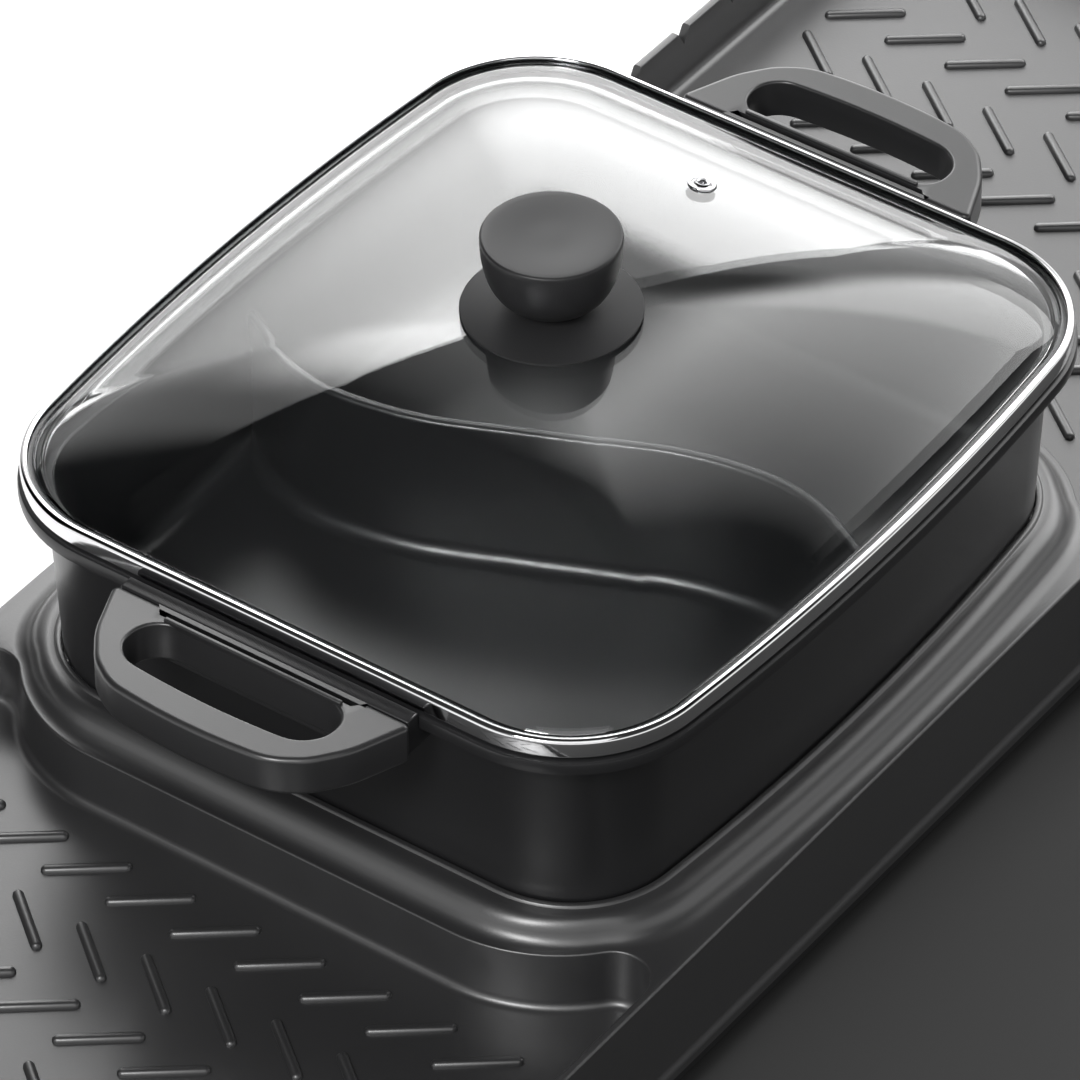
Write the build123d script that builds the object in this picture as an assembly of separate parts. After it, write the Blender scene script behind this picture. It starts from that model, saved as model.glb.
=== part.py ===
from build123d import *
import os
from math import atan, atan2, cos, degrees, radians, sin, sqrt, tan

os.makedirs("parts", exist_ok=True)

# Clearances shared by all pieces, and the overrun of every cut
seat_gap = 0.3
running_fit = 0.06
slip_fit = 0.4
overrun = 1.0

# Sides of the faceted rounds, so that repeated and hidden pieces stay light
post_sides = 8
knob_sides = 32
dial_sides = 32
lens_sides = 16
corner_facets = 4
bow_facets = 3
divider_facets = 4

# Lid outline in plan: straight ends, gently bowed long sides, round corners
lid_half_length = 150.0
lid_half_depth = 133.9
lid_bow = 10.2
lid_corner = 50.0

# Levels from the table up
foot_height = 2.5
base_rise = 10.8
skirt_height = 44.7
pot_seat_rise = 2.0
collar_rise = 9.0
pot_height = 76.0

# Cast top: land, collar and two sunken grill trays in one casting
top_length = 864.0
top_depth = 285.0
top_corner = 28.0
skirt_wall = 2.8
land_wall = 3.2
rim_break = 0.9
bead_height = 6.3
bead_proud = 1.2
bead_edge = 0.6
tray_sunk = 22.6
tray_floor_wall = 3.4
tray_fillet = 3.0
tray_corner = 12.5
tray_end_corner = 24.0
tray_edge_break = 0.8
land_half_length = 157.6
land_straight = 73.2
land_round = 59.0
land_turn = 48.0
land_hollow_proud = 1.0

# Collar that frames the pot: lip, crown, S-curved flank
collar_gap_inset = 10.6
collar_lip = 2.0
collar_lip_step = 0.7
collar_crown = 7.6
collar_crown_drop = 1.0
collar_width = 17.8
collar_flank_share = [(0.26, 0.12), (0.5, 0.5), (0.74, 0.88)]

# Herringbone ribs on the tray floors
rib_length = 30.0
rib_cross_length = 28.8
rib_width = 4.0
rib_height = 1.8
rib_angle = 51.9
rib_row_pitch = 26.17
rib_pair_pitch = 60.7
rib_back_margin = 20.1
rib_front_margin = 20.0
rib_end_margin = 9.0
left_rib_start = 34.5
left_cross_start = 46.8
right_rib_start = 57.3
right_cross_start = 45.2
rib_bevel = 0.9

# Skewer notches in the outer tray walls
notch_width = 7.2
notch_depth = 6.3
notch_start = 56.7
notch_end_margin = 25.0

# Screw pillars under the trays and bosses on the base
pillar_radius = 6.0
pillar_drop = 8.0
boss_radius = 5.5
boss_near = 42.4
boss_far = 37.2
boss_side = 28.0
screw_radius = 1.7
screw_bite = 6.0
screw_head_radius = 3.6
screw_head_height = 2.4
screw_recess = 3.0

# Base housing and feet
base_wall = 2.2
base_floor = 2.2
base_overlap = 4.0
base_edge = 1.5
foot_radius = 9.0
foot_stem_radius = 3.0
foot_stem_rise = 1.2
foot_end_inset = 19.0
foot_side_inset = 19.5
foot_taper = 0.8

# Well pan, heating plate and their elements
pan_wall = 1.2
pan_depth = 12.8
pan_flange_inset = 3.0
plate_inset = 24.0
plate_thickness = 6.0
plate_edge = 1.0
post_radius = 4.0
post_x = 112.0
post_y = 96.0
element_radius = 3.3
rod_sides = 4
element_half_length = 92.0
element_half_depth = 74.0
element_bend = 28.0
element_lead_gap = 13.0
element_lead_length = 30.0
element_lead_bend = 9.0
fuse_radius = 3.0
fuse_length = 22.0
fuse_offset = 20.0
pan_screw_radius = 1.5
pan_screw_bite = 5.0
pan_screw_head = 3.0
pan_screw_head_height = 1.8

# Grill elements, their clips and the heat shields below
grill_start = 24.0
grill_end = 30.0
grill_turn_back = 58.0
grill_outer_side = 90.0
grill_inner_side = 32.0
grill_bend = 22.0
clip_length = 9.0
clip_width = 15.0
clip_cover = 1.6
clip_place_share = [0.22, 0.8]
shield_sheet = 1.0
shield_level_rise = 7.4
shield_inset = 46.0
shield_half_depth = 100.0
shield_corner = 12.0
shield_leg_length = 14.0
shield_leg_width = 3.0
shield_leg_share = 0.8

# Control panel, dials, thermostats and lamps at the front
fitting_projection = 18.0
panel_length = 152.0
panel_height = 46.0
panel_thickness = 4.0
panel_corner = 9.0
panel_low = 4.2
panel_lap = 1.4
dial_pitch = 80.0
control_place = 211.0
dial_level = 24.0
dial_radius = 14.5
dial_flange = 2.4
dial_grip_radius = 11.2
dial_grip_draft = 0.9
dial_grip_sides = 24
dial_round = 1.2
dial_bore_depth = 8.0
dial_ridge_width = 3.4
dial_ridge_height = 1.0
spindle_radius = 3.0
spindle_length = 26.0
thermostat_length = 30.0
thermostat_depth = 22.0
thermostat_height = 15.4
lens_radius = 2.4
lens_proud = 0.9
lens_depth = 4.0
lens_level = 44.3

# Appliance inlet at the back
inlet_length = 44.0
inlet_height = 21.6
inlet_corner = 4.0
inlet_low = 9.6
inlet_depth = 40.0
inlet_wall = 4.2
inlet_socket_depth = 24.0
inlet_place = 211.0
pin_length = 17.0
pin_width = 4.2
pin_thick = 1.8
pin_root = 3.0
pin_pitch = 10.0
terminal_length = 34.0
terminal_depth = 14.0
terminal_height = 10.0
terminal_gap = 8.0
terminal_place = 120.0

# Pot with its S-shaped divider
pot_wall = 4.0
pot_floor = 5.0
pot_foot_inset = 11.3
pot_top_inset = 8.0
pot_foot_round = 8.0
pot_floor_round = 7.0
flange_height = 5.0
flange_proud = 1.0
flange_break = 1.2
rebate_inset = 5.0
rebate_depth = 1.5
divider_top_drop = 15.7
divider_top_wall = 4.4
divider_draft = 1.4
divider_flare = 6.0
divider_swing = 25.0
divider_reach = 125.0
divider_overshoot = 4.0
divider_wide_round = 120.0
divider_tight_round = 60.0
divider_path_share = [(-0.78, 0.344), (-1, 0.656), (-0.2, 1)]
quarter_round_share = [(1, 0), (0.5, 0.134), (0.134, 0.5), (0, 1)]

# Side handles with their lugs
lug_half_length = 57.0
lug_depth = 12.0
lug_strip_gap = 1.3
lug_strip_rise = 2.0
lug_reach = 7.0
lug_end_chamfer = 3.0
handle_reach = 48.7
handle_shoulder = 30.0
handle_root_half = 59.5
handle_shoulder_half = 51.0
handle_outer_half = 38.0
handle_outer_round = 14.0
handle_shoulder_round = 25.0
handle_depth = 15.0
handle_edge = 2.4
handle_bevel = 1.5
grip_slot_start = 13.0
grip_slot_width = 23.0
grip_slot_length = 80.0
grip_slot_round = 10.0
groove_width = 3.6
groove_half_length = 41.0
groove_point = 3.4
groove_depth = 10.0
lip_rib_width = 1.8
lip_rib_rise = 1.2
tongue_reach = 11.0
tongue_half_length = 45.0
tongue_depth = 4.6
handle_screw_place = 37.0
handle_screw_inset = 5.0

# Lid: steel rim, domed glass, vent eyelet
rim_height = 7.0
rim_gap = 1.3
rim_sheet = 1.4
rim_lip = 2.5
rim_edge = 0.7
rim_ledge = 7.4
rim_ledge_sheet = 1.6
rim_tongue_fit = 0.4
glass_wall = 4.0
glass_edge_fit = 0.3
dome_inset = 4.6
dome_rise = 31.6
dome_share = [1, 0.975, 0.93, 0.85, 0.73, 0.57, 0.37, 0.14]
dome_swell_share = (2.4, 0.85)
vent_x = 91.0
vent_y = 4.0
vent_radius = 5.0
vent_barrel_radius = 2.6
vent_bore_radius = 1.4
vent_flange = 1.0

# Knob
knob_skirt_radius = 30.2
knob_skirt_edge = 1.1
knob_skirt_rise = 2.2
knob_neck_radius = 11.0
knob_neck_height = 2.0
knob_foot_radius = 12.2
knob_radius = 23.4
knob_height = 25.3
knob_rim = 1.6
knob_dish = 1.5
knob_dish_share = 0.5
knob_swell_share = [(0, 0), (0.34, 0.08), (0.62, 0.23), (0.82, 0.44), (0.95, 0.72), (1, 1)]
washer_radius = 12.0
washer_height = 1.0
knob_screw_radius = 2.5
knob_screw_bite = 14.0
knob_screw_head_radius = 6.0
knob_screw_head_height = 2.4

# Levels and places that follow from the sizes above
base_level = foot_height
skirt_level = base_level + base_rise
rim_level = skirt_level + skirt_height
floor_level = rim_level - tray_sunk
tray_under = floor_level - tray_floor_wall
land_under = rim_level - land_wall
contact_level = rim_level + collar_rise
pot_seat = rim_level + pot_seat_rise
pot_top = pot_seat + pot_height
flange_under = pot_top - flange_height
plate_top = pot_seat - seat_gap
plate_under = plate_top - plate_thickness
pan_under = land_under - pan_depth
pan_floor_top = pan_under + pan_wall
rim_low = pot_top + rim_gap
rim_top = rim_low + rim_height
ledge_top = rim_low + rim_ledge_sheet
glass_top = ledge_top + glass_wall
dome_top = glass_top + dome_rise
half_length = top_length / 2
half_depth = top_depth / 2
tray_end = half_length - skirt_wall
tray_side = half_depth - skirt_wall
bow_radius = (lid_half_length**2 + lid_bow**2) / (2 * lid_bow)
base_half_length = tray_end - seat_gap
base_half_depth = tray_side - seat_gap
fitting_face = half_depth + fitting_projection
pillar_low = tray_under - pillar_drop
base_inside = base_level + base_floor
boss_places = [(side * x, way * (tray_side - boss_side)) for side in (-1, 1) for way in (-1, 1)
               for x in (land_half_length + boss_near, tray_end - boss_far)]
dial_places = [control_place - dial_pitch / 2, control_place + dial_pitch / 2]


# Plan outline shared by lid, pot, collar and land
def bowed_face(inset, level, share=1):
    half_x = (lid_half_length - inset) * share
    half_y = (lid_half_depth - inset) * share
    radius = (bow_radius - inset) * share
    side_y = half_y - radius + sqrt(radius**2 - half_x**2)
    edges = [
        Line((-half_x, side_y), (-half_x, -side_y)),
        ThreePointArc((-half_x, -side_y), (0, -half_y), (half_x, -side_y)),
        Line((half_x, -side_y), (half_x, side_y)),
        ThreePointArc((half_x, side_y), (0, half_y), (-half_x, side_y)),
    ]
    face = make_face(edges)
    face = fillet(face.vertices(), (lid_corner - inset) * share)
    return Pos(0, 0, level) * face


# Points of the same outline with straight facets in place of its arcs
def facet_points(inset, level, share=1):
    reach = lid_half_length - inset
    bow = bow_radius - inset
    corner = lid_corner - inset
    bow_middle = lid_half_depth - inset - bow
    corner_x = reach - corner
    corner_y = bow_middle + sqrt((bow - corner)**2 - corner_x**2)
    turn = atan2(corner_y - bow_middle, corner_x)
    quarter = []
    for step in range(corner_facets + 1):
        angle = turn * step / corner_facets
        quarter.append((corner_x + corner * cos(angle), corner_y + corner * sin(angle)))
    for step in range(1, bow_facets + 1):
        angle = turn + (radians(90) - turn) * step / bow_facets
        quarter.append((bow * cos(angle), bow_middle + bow * sin(angle)))
    half = quarter + [(-x, y) for x, y in reversed(quarter[:-1])]
    half = [(x * share, y * share, level) for x, y in half]
    return half + [(-x, -y, z) for x, y, z in half]


# Solid with flat faces through faceted outlines given as (inset, level, share)
def faceted_solid(*sections):
    rings = [facet_points(*section) for section in sections]
    count = len(rings[0])
    faces = [make_face(Polyline(*rings[0], close=True)), make_face(Polyline(*rings[-1], close=True))]
    for low, high in zip(rings, rings[1:]):
        for start in range(count):
            end = (start + 1) % count
            faces.append(make_face(Polyline(low[start], low[end], high[end], high[start], close=True)))
    return Solid(Shell([piece.faces()[0] for piece in faces]))


# Solid through bowed outlines given as (inset, level)
def bowed_solid(*sections):
    return loft([bowed_face(inset, level) for inset, level in sections], ruled=True)


# Tapered solid through bowed outlines given as (inset, level), one stage at a time
def staged_solid(*sections):
    sections = [(-inset, level) for inset, level in sections]
    stages = [stage(lambda size: bowed_face(-size, 0), low, high)
              for low, high in zip(sections, sections[1:])]
    return stages[0] + stages[1:]


# Rounded rectangle standing between two levels
def slab(half_x, half_y, corner, low, high):
    return Pos(0, 0, low) * extrude(RectangleRounded(2 * half_x, 2 * half_y, corner), high - low)


# Tapered stage between two (size, level) sections, extruded from the wider one
def stage(draw, low, high, flat_share=1):
    (wide, start), (narrow, end) = sorted([low, high], reverse=True)
    taper = degrees(atan2((wide - narrow) * flat_share, abs(end - start)))
    body = extrude(draw(wide), abs(end - start), taper=taper)
    turn = Rot(180, 0, 0) if end < start else Rot(0, 0, 0)
    return Pos(0, 0, start) * turn * body


# Upright faceted post between two levels
def post(radius, x, y, low, high, sides=post_sides):
    return Pos(x, y, low) * extrude(RegularPolygon(radius, sides), high - low)


# Faceted stack through (radius, level) sections about an upright axis
def stack(sections, x, y, sides):
    stages = [stage(lambda radius: RegularPolygon(radius, sides), low, high,
                    cos(radians(180) / sides)) for low, high in zip(sections, sections[1:])]
    return Pos(x, y, 0) * (stages[0] + stages[1:])


# Cylinder along Y between two distances from the middle
def cross_bar(radius, x, z, y_start, y_end):
    plane = Plane(origin=(x, y_start, z), x_dir=(1, 0, 0), z_dir=(0, 1, 0))
    return extrude(plane * Circle(radius), y_end - y_start)


# Box between two corners
def block(x0, x1, y0, y1, z0, z1):
    middle = Pos((x0 + x1) / 2, (y0 + y1) / 2, (z0 + z1) / 2)
    return middle * Box(x1 - x0, y1 - y0, z1 - z0)


# Closed run of straight edges through points
def outline(points):
    return [Line(points[i], points[(i + 1) % len(points)]) for i in range(len(points))]


# Outer body of the casting: rounded block with a flared bead round its foot
def top_block():
    body = slab(half_length, half_depth, top_corner, skirt_level, rim_level)
    body = chamfer(body.faces().sort_by(Axis.Z)[-1].edges(), rim_break)
    bead_steps = [
        (bead_proud - bead_edge, skirt_level),
        (bead_proud, skirt_level + bead_edge),
        (bead_proud, skirt_level + bead_height / 2),
        (0, skirt_level + bead_height),
    ]
    rings = [Pos(0, 0, z) * RectangleRounded(top_length + 2 * grow, top_depth + 2 * grow,
                                             top_corner + grow) for grow, z in bead_steps]
    return body + loft(rings, ruled=True)


# Plan of the right-hand tray: its inner end hugs the collar
def tray_face(level):
    turn = radians(land_turn)
    bend_y = land_straight + land_round * tan(turn / 2)
    run = (tray_side - bend_y) / cos(turn)
    throat_x = land_half_length - run * sin(turn)
    spare = run - land_round * tan(turn / 2)
    inner_round = min(tray_corner, spare * tan((radians(90) - turn) / 2) * 0.98)
    points = [
        (land_half_length, -bend_y),
        (throat_x, -tray_side),
        (tray_end, -tray_side),
        (tray_end, tray_side),
        (throat_x, tray_side),
        (land_half_length, bend_y),
    ]
    rounds = [land_round, inner_round, tray_end_corner, tray_end_corner, inner_round, land_round]
    return Pos(0, 0, level) * make_face(FilletPolyline(*points, radius=rounds, close=True))


# Space of one sunken tray, with its floor fillet and the broken edge at the rim
def tray_space():
    space = extrude(tray_face(floor_level), tray_sunk + overrun)
    space = chamfer(space.faces().sort_by(Axis.Z)[0].edges(), tray_fillet * (1 - sqrt(0.5)),
                    tray_fillet * sqrt(0.5))
    flare = extrude(tray_face(rim_level - tray_edge_break), tray_edge_break + overrun, taper=-45)
    return space + flare


# Raised collar swept round the pot opening: lip, crown and S-curved flank
def collar_ring():
    crown_level = contact_level - collar_crown_drop
    run = collar_width - collar_crown
    drop = crown_level - rim_level
    lip_end = collar_lip + collar_lip_step
    points = [
        (0, land_under),
        (0, contact_level),
        (collar_lip, contact_level),
        (lip_end, crown_level),
        (collar_crown, crown_level),
    ]
    for out_share, down_share in collar_flank_share:
        points.append((collar_crown + run * out_share, crown_level - drop * down_share))
    points = points + [(collar_width, rim_level), (collar_width, land_under)]
    start_x = -(lid_half_length - collar_gap_inset)
    plane = Plane(origin=(start_x, 0, 0), x_dir=(-1, 0, 0), z_dir=(0, 1, 0))
    path = bowed_face(collar_gap_inset, 0).faces()[0].outer_wire()
    return sweep(plane * make_face(outline(points)), path=path)


# One raised rib with bevelled flanks, centred at a point and turned
def rib(length, x, y, angle):
    foot = Pos(0, 0, floor_level) * Rectangle(length, rib_width)
    flank = degrees(atan2(rib_bevel, rib_height))
    shape = extrude(foot, -overrun) + extrude(foot, rib_height, taper=flank)
    return Pos(x, y, 0) * Rot(0, 0, angle) * shape


# Herringbone of one tray: rows of slanted ribs crossed by their mirror images
def herringbone(side, rib_start, cross_start):
    lean = radians(rib_angle)
    rows = int((2 * tray_side - rib_back_margin - rib_front_margin - rib_length * sin(lean))
               // rib_row_pitch) + 1
    reach = max(rib_start, cross_start) + rib_length * cos(lean) + rib_end_margin
    pairs = int((tray_end - land_half_length - reach) // rib_pair_pitch) + 1
    ribs = []
    for row in range(rows):
        y = tray_side - rib_back_margin - row * rib_row_pitch
        for pair in range(pairs):
            rib_x = side * (land_half_length + rib_start + pair * rib_pair_pitch)
            cross_x = side * (land_half_length + cross_start + pair * rib_pair_pitch)
            ribs.append(rib(rib_length, rib_x + rib_length / 2 * cos(lean),
                            y - rib_length / 2 * sin(lean), -rib_angle))
            ribs.append(rib(rib_cross_length, cross_x - rib_cross_length / 2 * cos(lean),
                            y - rib_cross_length / 2 * sin(lean), rib_angle))
    return ribs


# V notches through the front and back wall of both trays
def skewer_notches():
    pitch = rib_pair_pitch / 2
    count = int((tray_end - land_half_length - notch_start - notch_end_margin) // pitch) + 1
    points = [
        (0, rim_level - notch_depth),
        (notch_width / 2, rim_level),
        (notch_width / 2, rim_level + overrun),
        (-notch_width / 2, rim_level + overrun),
        (-notch_width / 2, rim_level),
    ]
    notches = []
    for index in range(count):
        x = land_half_length + notch_start + index * pitch
        for side in (-1, 1):
            for y in (-half_depth - overrun, tray_side - overrun):
                plane = Plane(origin=(side * x, y, 0), x_dir=(-1, 0, 0), z_dir=(0, 1, 0))
                face = plane * make_face(outline(points))
                notches.append(extrude(face, skirt_wall + 2 * overrun))
    return notches


# Screw pillars under the tray floors with their blind holes
def with_pillars(body):
    for x, y in boss_places:
        body = body + post(pillar_radius, x, y, pillar_low, tray_under + tray_floor_wall / 2)
    holes = [post(screw_radius, x, y, pillar_low - overrun, pillar_low + screw_bite)
             for x, y in boss_places]
    return body - holes


# Places of the screws that hold the well pan under the land
def pan_screw_places():
    inset = (pan_flange_inset + collar_gap_inset) / 2
    end = lid_half_length - inset
    side = lid_half_depth - inset
    return [(end, 0), (-end, 0), (0, side), (0, -side)]


# The whole casting
def cast_top():
    tray = tray_space()
    trays = [tray, mirror(tray, about=Plane.YZ)]
    body = top_block()
    body = body - slab(tray_end, tray_side, tray_end_corner, skirt_level - overrun, tray_under)
    body = body - faceted_solid((-land_hollow_proud, tray_under - overrun),
                                (-land_hollow_proud, land_under))
    body = body + collar_ring()
    body = body - bowed_solid((collar_gap_inset, tray_under), (collar_gap_inset,
                                                                contact_level + overrun))
    body = body - trays
    ribs = herringbone(-1, left_rib_start, left_cross_start)
    ribs = ribs + herringbone(1, right_rib_start, right_cross_start)
    body = body + ribs
    body = body - skewer_notches()
    body = with_pillars(body)
    for x, y in pan_screw_places():
        body = body - post(pan_screw_radius, x, y, land_under - overrun,
                           land_under + pan_screw_bite)
    for x in dial_places:
        body = body - cross_bar(spindle_radius + slip_fit, x, dial_level,
                                -half_depth - overrun, -tray_side + overrun)
    for x in dial_places:
        body = body - cross_bar(lens_radius, x, lens_level, -half_depth - overrun,
                                -half_depth + lens_depth - panel_thickness)
    return body - inlet_body(slip_fit)


# Base tray under the casting with screw bosses and shield legs
def base_housing():
    corner = tray_end_corner - seat_gap
    top = skirt_level + base_overlap
    body = slab(base_half_length, base_half_depth, corner, base_level, top)
    body = chamfer(body.faces().sort_by(Axis.Z)[0].edges(), base_edge)
    body = body - slab(base_half_length - base_wall, base_half_depth - base_wall,
                       corner - base_wall, base_inside, top + overrun)
    for x, y in boss_places:
        body = body + post(boss_radius, x, y, base_level + base_floor / 2, pillar_low)
    for x, y in shield_leg_places():
        body = body + block(x - shield_leg_length / 2, x + shield_leg_length / 2,
                            y - shield_leg_width / 2, y + shield_leg_width / 2,
                            base_level + base_floor / 2, shield_level())
    for x, y in boss_places:
        body = body - post(screw_radius + slip_fit / 2, x, y, base_level, pillar_low + overrun)
        body = body - post(screw_head_radius + slip_fit, x, y, base_level - overrun,
                           base_level + screw_recess)
    for x, y in foot_places():
        body = body - post(foot_stem_radius, x, y, base_level - overrun, base_inside + overrun)
    for x in dial_places:
        reach = thermostat_length / 2 + slip_fit
        body = body - block(x - reach, x + reach, -base_half_depth - overrun,
                            -base_half_depth + base_wall + overrun, skirt_level, top + overrun)
    return body - inlet_body(slip_fit)


# Places of the rubber feet
def foot_places():
    x = base_half_length - foot_end_inset
    y = base_half_depth - foot_side_inset
    return [(place * x, way * y) for place in (-1, 0, 1) for way in (-1, 1)]


# Rubber feet pressed into the base floor
def rubber_feet():
    feet = []
    for x, y in foot_places():
        pad = stack([(foot_radius - foot_taper, 0), (foot_radius, foot_height)], x, y, post_sides)
        feet.append(pad + post(foot_stem_radius, x, y, foot_height, base_inside + foot_stem_rise))
    return Compound(children=feet)


# Screws through the base bosses into the pillars
def body_screws():
    head_low = base_level + screw_recess - screw_head_height
    screws = []
    for x, y in boss_places:
        head = post(screw_head_radius, x, y, head_low, base_level + screw_recess)
        shank = post(screw_radius, x, y, base_level + screw_recess, pillar_low + screw_bite)
        screws.append(head + shank)
    return Compound(children=screws)


# Pressed steel pan that closes the well below the heating plate
def well_pan():
    body = faceted_solid((pan_flange_inset, land_under - pan_wall), (pan_flange_inset, land_under))
    body = body + faceted_solid((collar_gap_inset, pan_under), (collar_gap_inset, land_under))
    body = body - faceted_solid((collar_gap_inset + pan_wall, pan_floor_top),
                                (collar_gap_inset + pan_wall, land_under + overrun))
    for x, y in pan_screw_places():
        body = body - post(pan_screw_radius, x, y, land_under - pan_wall - overrun,
                           land_under + overrun)
    return body


# Screws that hold the pan flange under the land
def pan_screws():
    low = land_under - pan_wall
    screws = []
    for x, y in pan_screw_places():
        head = post(pan_screw_head, x, y, low - pan_screw_head_height, low)
        screws.append(head + post(pan_screw_radius, x, y, low, land_under + pan_screw_bite))
    return Compound(children=screws)


# Cast aluminium plate that heats the pot
def heating_plate():
    body = faceted_solid((plate_inset, plate_under), (plate_inset, plate_top))
    return chamfer(body.faces().sort_by(Axis.Z)[-1].edges(), plate_edge)


# Posts that carry the plate on the pan
def plate_posts():
    places = [(post_x, 0), (-post_x, 0), (0, post_y), (0, -post_y)]
    return Compound(children=[post(post_radius, x, y, pan_floor_top, plate_under)
                              for x, y in places])


# Section of a rolled rod with a flat side up, square to some direction
def rod_section(x, y, level, ahead, radius):
    plane = Plane(origin=(x, y, level), x_dir=(0, 0, 1), z_dir=ahead)
    return plane * Rot(0, 0, 180 / rod_sides) * RegularPolygon(radius, rod_sides, major_radius=False)


# Rod bent along a path of straight runs and arcs
def bent_rod(points, bends, level, radius):
    path = FilletPolyline(*[(x, y, level) for x, y in points], radius=bends)
    start = points[0]
    ahead = (points[1][0] - start[0], points[1][1] - start[1], 0)
    return sweep(rod_section(start[0], start[1], level, ahead, radius), path=path)


# Sheathed element looped under the heating plate
def plate_element():
    x = element_half_length
    y = element_half_depth
    gap = element_lead_gap
    end = -y + element_lead_length
    points = [(-gap, end), (-gap, -y), (-x, -y), (-x, y), (x, y), (x, -y), (gap, -y), (gap, end)]
    bends = [element_lead_bend] + [element_bend] * 4 + [element_lead_bend]
    return bent_rod(points, bends, plate_under - element_radius, element_radius)


# Fuse capsule against the underside of the plate
def thermal_fuse():
    level = plate_under - fuse_radius
    return cross_bar(fuse_radius, 0, level, fuse_offset - fuse_length / 2,
                     fuse_offset + fuse_length / 2)


# Serpentine element under one tray floor
def grill_element(side):
    near = land_half_length + grill_start
    far = tray_end - grill_end
    back = near + grill_turn_back
    points = [
        (near, -grill_outer_side),
        (far, -grill_outer_side),
        (far, -grill_inner_side),
        (back, -grill_inner_side),
        (back, grill_inner_side),
        (far, grill_inner_side),
        (far, grill_outer_side),
        (near, grill_outer_side),
    ]
    points = [(side * x, y) for x, y in points]
    return bent_rod(points, [grill_bend] * 6, tray_under - element_radius, element_radius)


# Saddle clips that hold the grill elements to the tray floors
def element_clips():
    near = land_half_length + grill_start
    run = tray_end - grill_end - near
    low = tray_under - 2 * element_radius - clip_cover
    clips = []
    for side in (-1, 1):
        for share in clip_place_share:
            for y in (-grill_outer_side, grill_outer_side):
                x = side * (near + run * share)
                body = block(x - clip_length / 2, x + clip_length / 2, y - clip_width / 2,
                             y + clip_width / 2, low, tray_under)
                level = tray_under - element_radius
                section = rod_section(x - clip_length / 2 - overrun, y, level, (1, 0, 0),
                                      element_radius + running_fit)
                channel = extrude(section, clip_length + 2 * overrun)
                mouth = block(x - clip_length / 2 - overrun, x + clip_length / 2 + overrun,
                              y - element_radius - running_fit, y + element_radius + running_fit,
                              level, tray_under + overrun)
                clips.append(body - channel - mouth)
    return Compound(children=clips)


# Height of the heat shields
def shield_level():
    return base_inside + shield_level_rise


# Plan places of the legs under the heat shields
def shield_leg_places():
    middle = (land_half_length + tray_end) / 2
    reach = (tray_end - land_half_length - 2 * shield_inset) / 2 * shield_leg_share
    side = shield_half_depth * shield_leg_share
    return [(way * middle + u * reach, v * side) for way in (-1, 1) for u in (-1, 1)
            for v in (-1, 1)]


# Sheet that keeps the heat of one grill element off the base
def heat_shield(side):
    middle = (land_half_length + tray_end) / 2
    length = tray_end - land_half_length - 2 * shield_inset
    sheet = RectangleRounded(length, 2 * shield_half_depth, shield_corner)
    return Pos(side * middle, 0, shield_level()) * extrude(sheet, shield_sheet)


# Panel on the front skirt, shaped to the bead behind it
def control_panel():
    face = -half_depth - panel_thickness
    plane = Plane(origin=(control_place, face, panel_low + panel_height / 2),
                  x_dir=(1, 0, 0), z_dir=(0, -1, 0))
    depth = panel_thickness + panel_lap
    body = extrude(plane * RectangleRounded(panel_length, panel_height, panel_corner), -depth)
    body = chamfer(body.faces().sort_by(Axis.Y)[0].edges(), panel_thickness / 4)
    body = body - top_block()
    for x in dial_places:
        body = body - cross_bar(spindle_radius + running_fit, x, dial_level, face - overrun,
                                -half_depth + panel_lap + overrun)
        body = body - cross_bar(lens_radius, x, lens_level, face - overrun,
                                -half_depth + panel_lap + overrun)
    return body


# Lamp lenses above the dials
def indicator_lenses():
    face = -half_depth - panel_thickness
    lenses = []
    for x in dial_places:
        plane = Plane(origin=(x, face - lens_proud, lens_level), x_dir=(1, 0, 0), z_dir=(0, 1, 0))
        body = extrude(plane * RegularPolygon(lens_radius, lens_sides), lens_proud + lens_depth)
        lenses.append(chamfer(body.faces().sort_by(Axis.Y)[0].edges(), lens_proud / 2))
    return Compound(children=lenses)


# Thermostat behind the skirt, bored for its spindle
def thermostat(place):
    z = dial_level
    body = block(place - thermostat_length / 2, place + thermostat_length / 2,
                 -tray_side, -tray_side + thermostat_depth,
                 z - thermostat_height / 2, z + thermostat_height / 2)
    bore_end = -half_depth - panel_thickness + spindle_length
    return body - cross_bar(spindle_radius + running_fit, place, z, -tray_side - overrun,
                            bore_end - dial_bore_depth + seat_gap)


# Spindle from the thermostat into the dial
def spindle(place):
    start = -half_depth - panel_thickness - slip_fit - dial_bore_depth
    return cross_bar(spindle_radius, place, dial_level, start, start + spindle_length)


# Turned dial with flange, drafted grip and pointer ridge
def dial(place):
    foot = -half_depth - panel_thickness - slip_fit
    tip = -fitting_face
    plane = Plane(origin=(place, foot, dial_level), x_dir=(1, 0, 0), z_dir=(0, -1, 0))
    flange = extrude(plane * RegularPolygon(dial_radius, dial_sides), dial_flange)
    flange = chamfer(flange.faces().sort_by(Axis.Y)[0].edges(), dial_flange / 3)
    grip_length = foot - tip - dial_ridge_height
    section = RegularPolygon(dial_grip_radius + dial_grip_draft, dial_grip_sides)
    taper = degrees(atan(dial_grip_draft / grip_length))
    grip = extrude(plane * section, grip_length, taper=taper)
    grip = chamfer(grip.faces().sort_by(Axis.Y)[0].edges(), dial_round)
    ridge = block(place - dial_ridge_width / 2, place + dial_ridge_width / 2, tip,
                  foot - dial_flange, dial_level, dial_level + dial_grip_radius - dial_round)
    bore = cross_bar(spindle_radius, place, dial_level, foot - dial_bore_depth, foot + overrun)
    return flange + grip + ridge - bore


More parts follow.
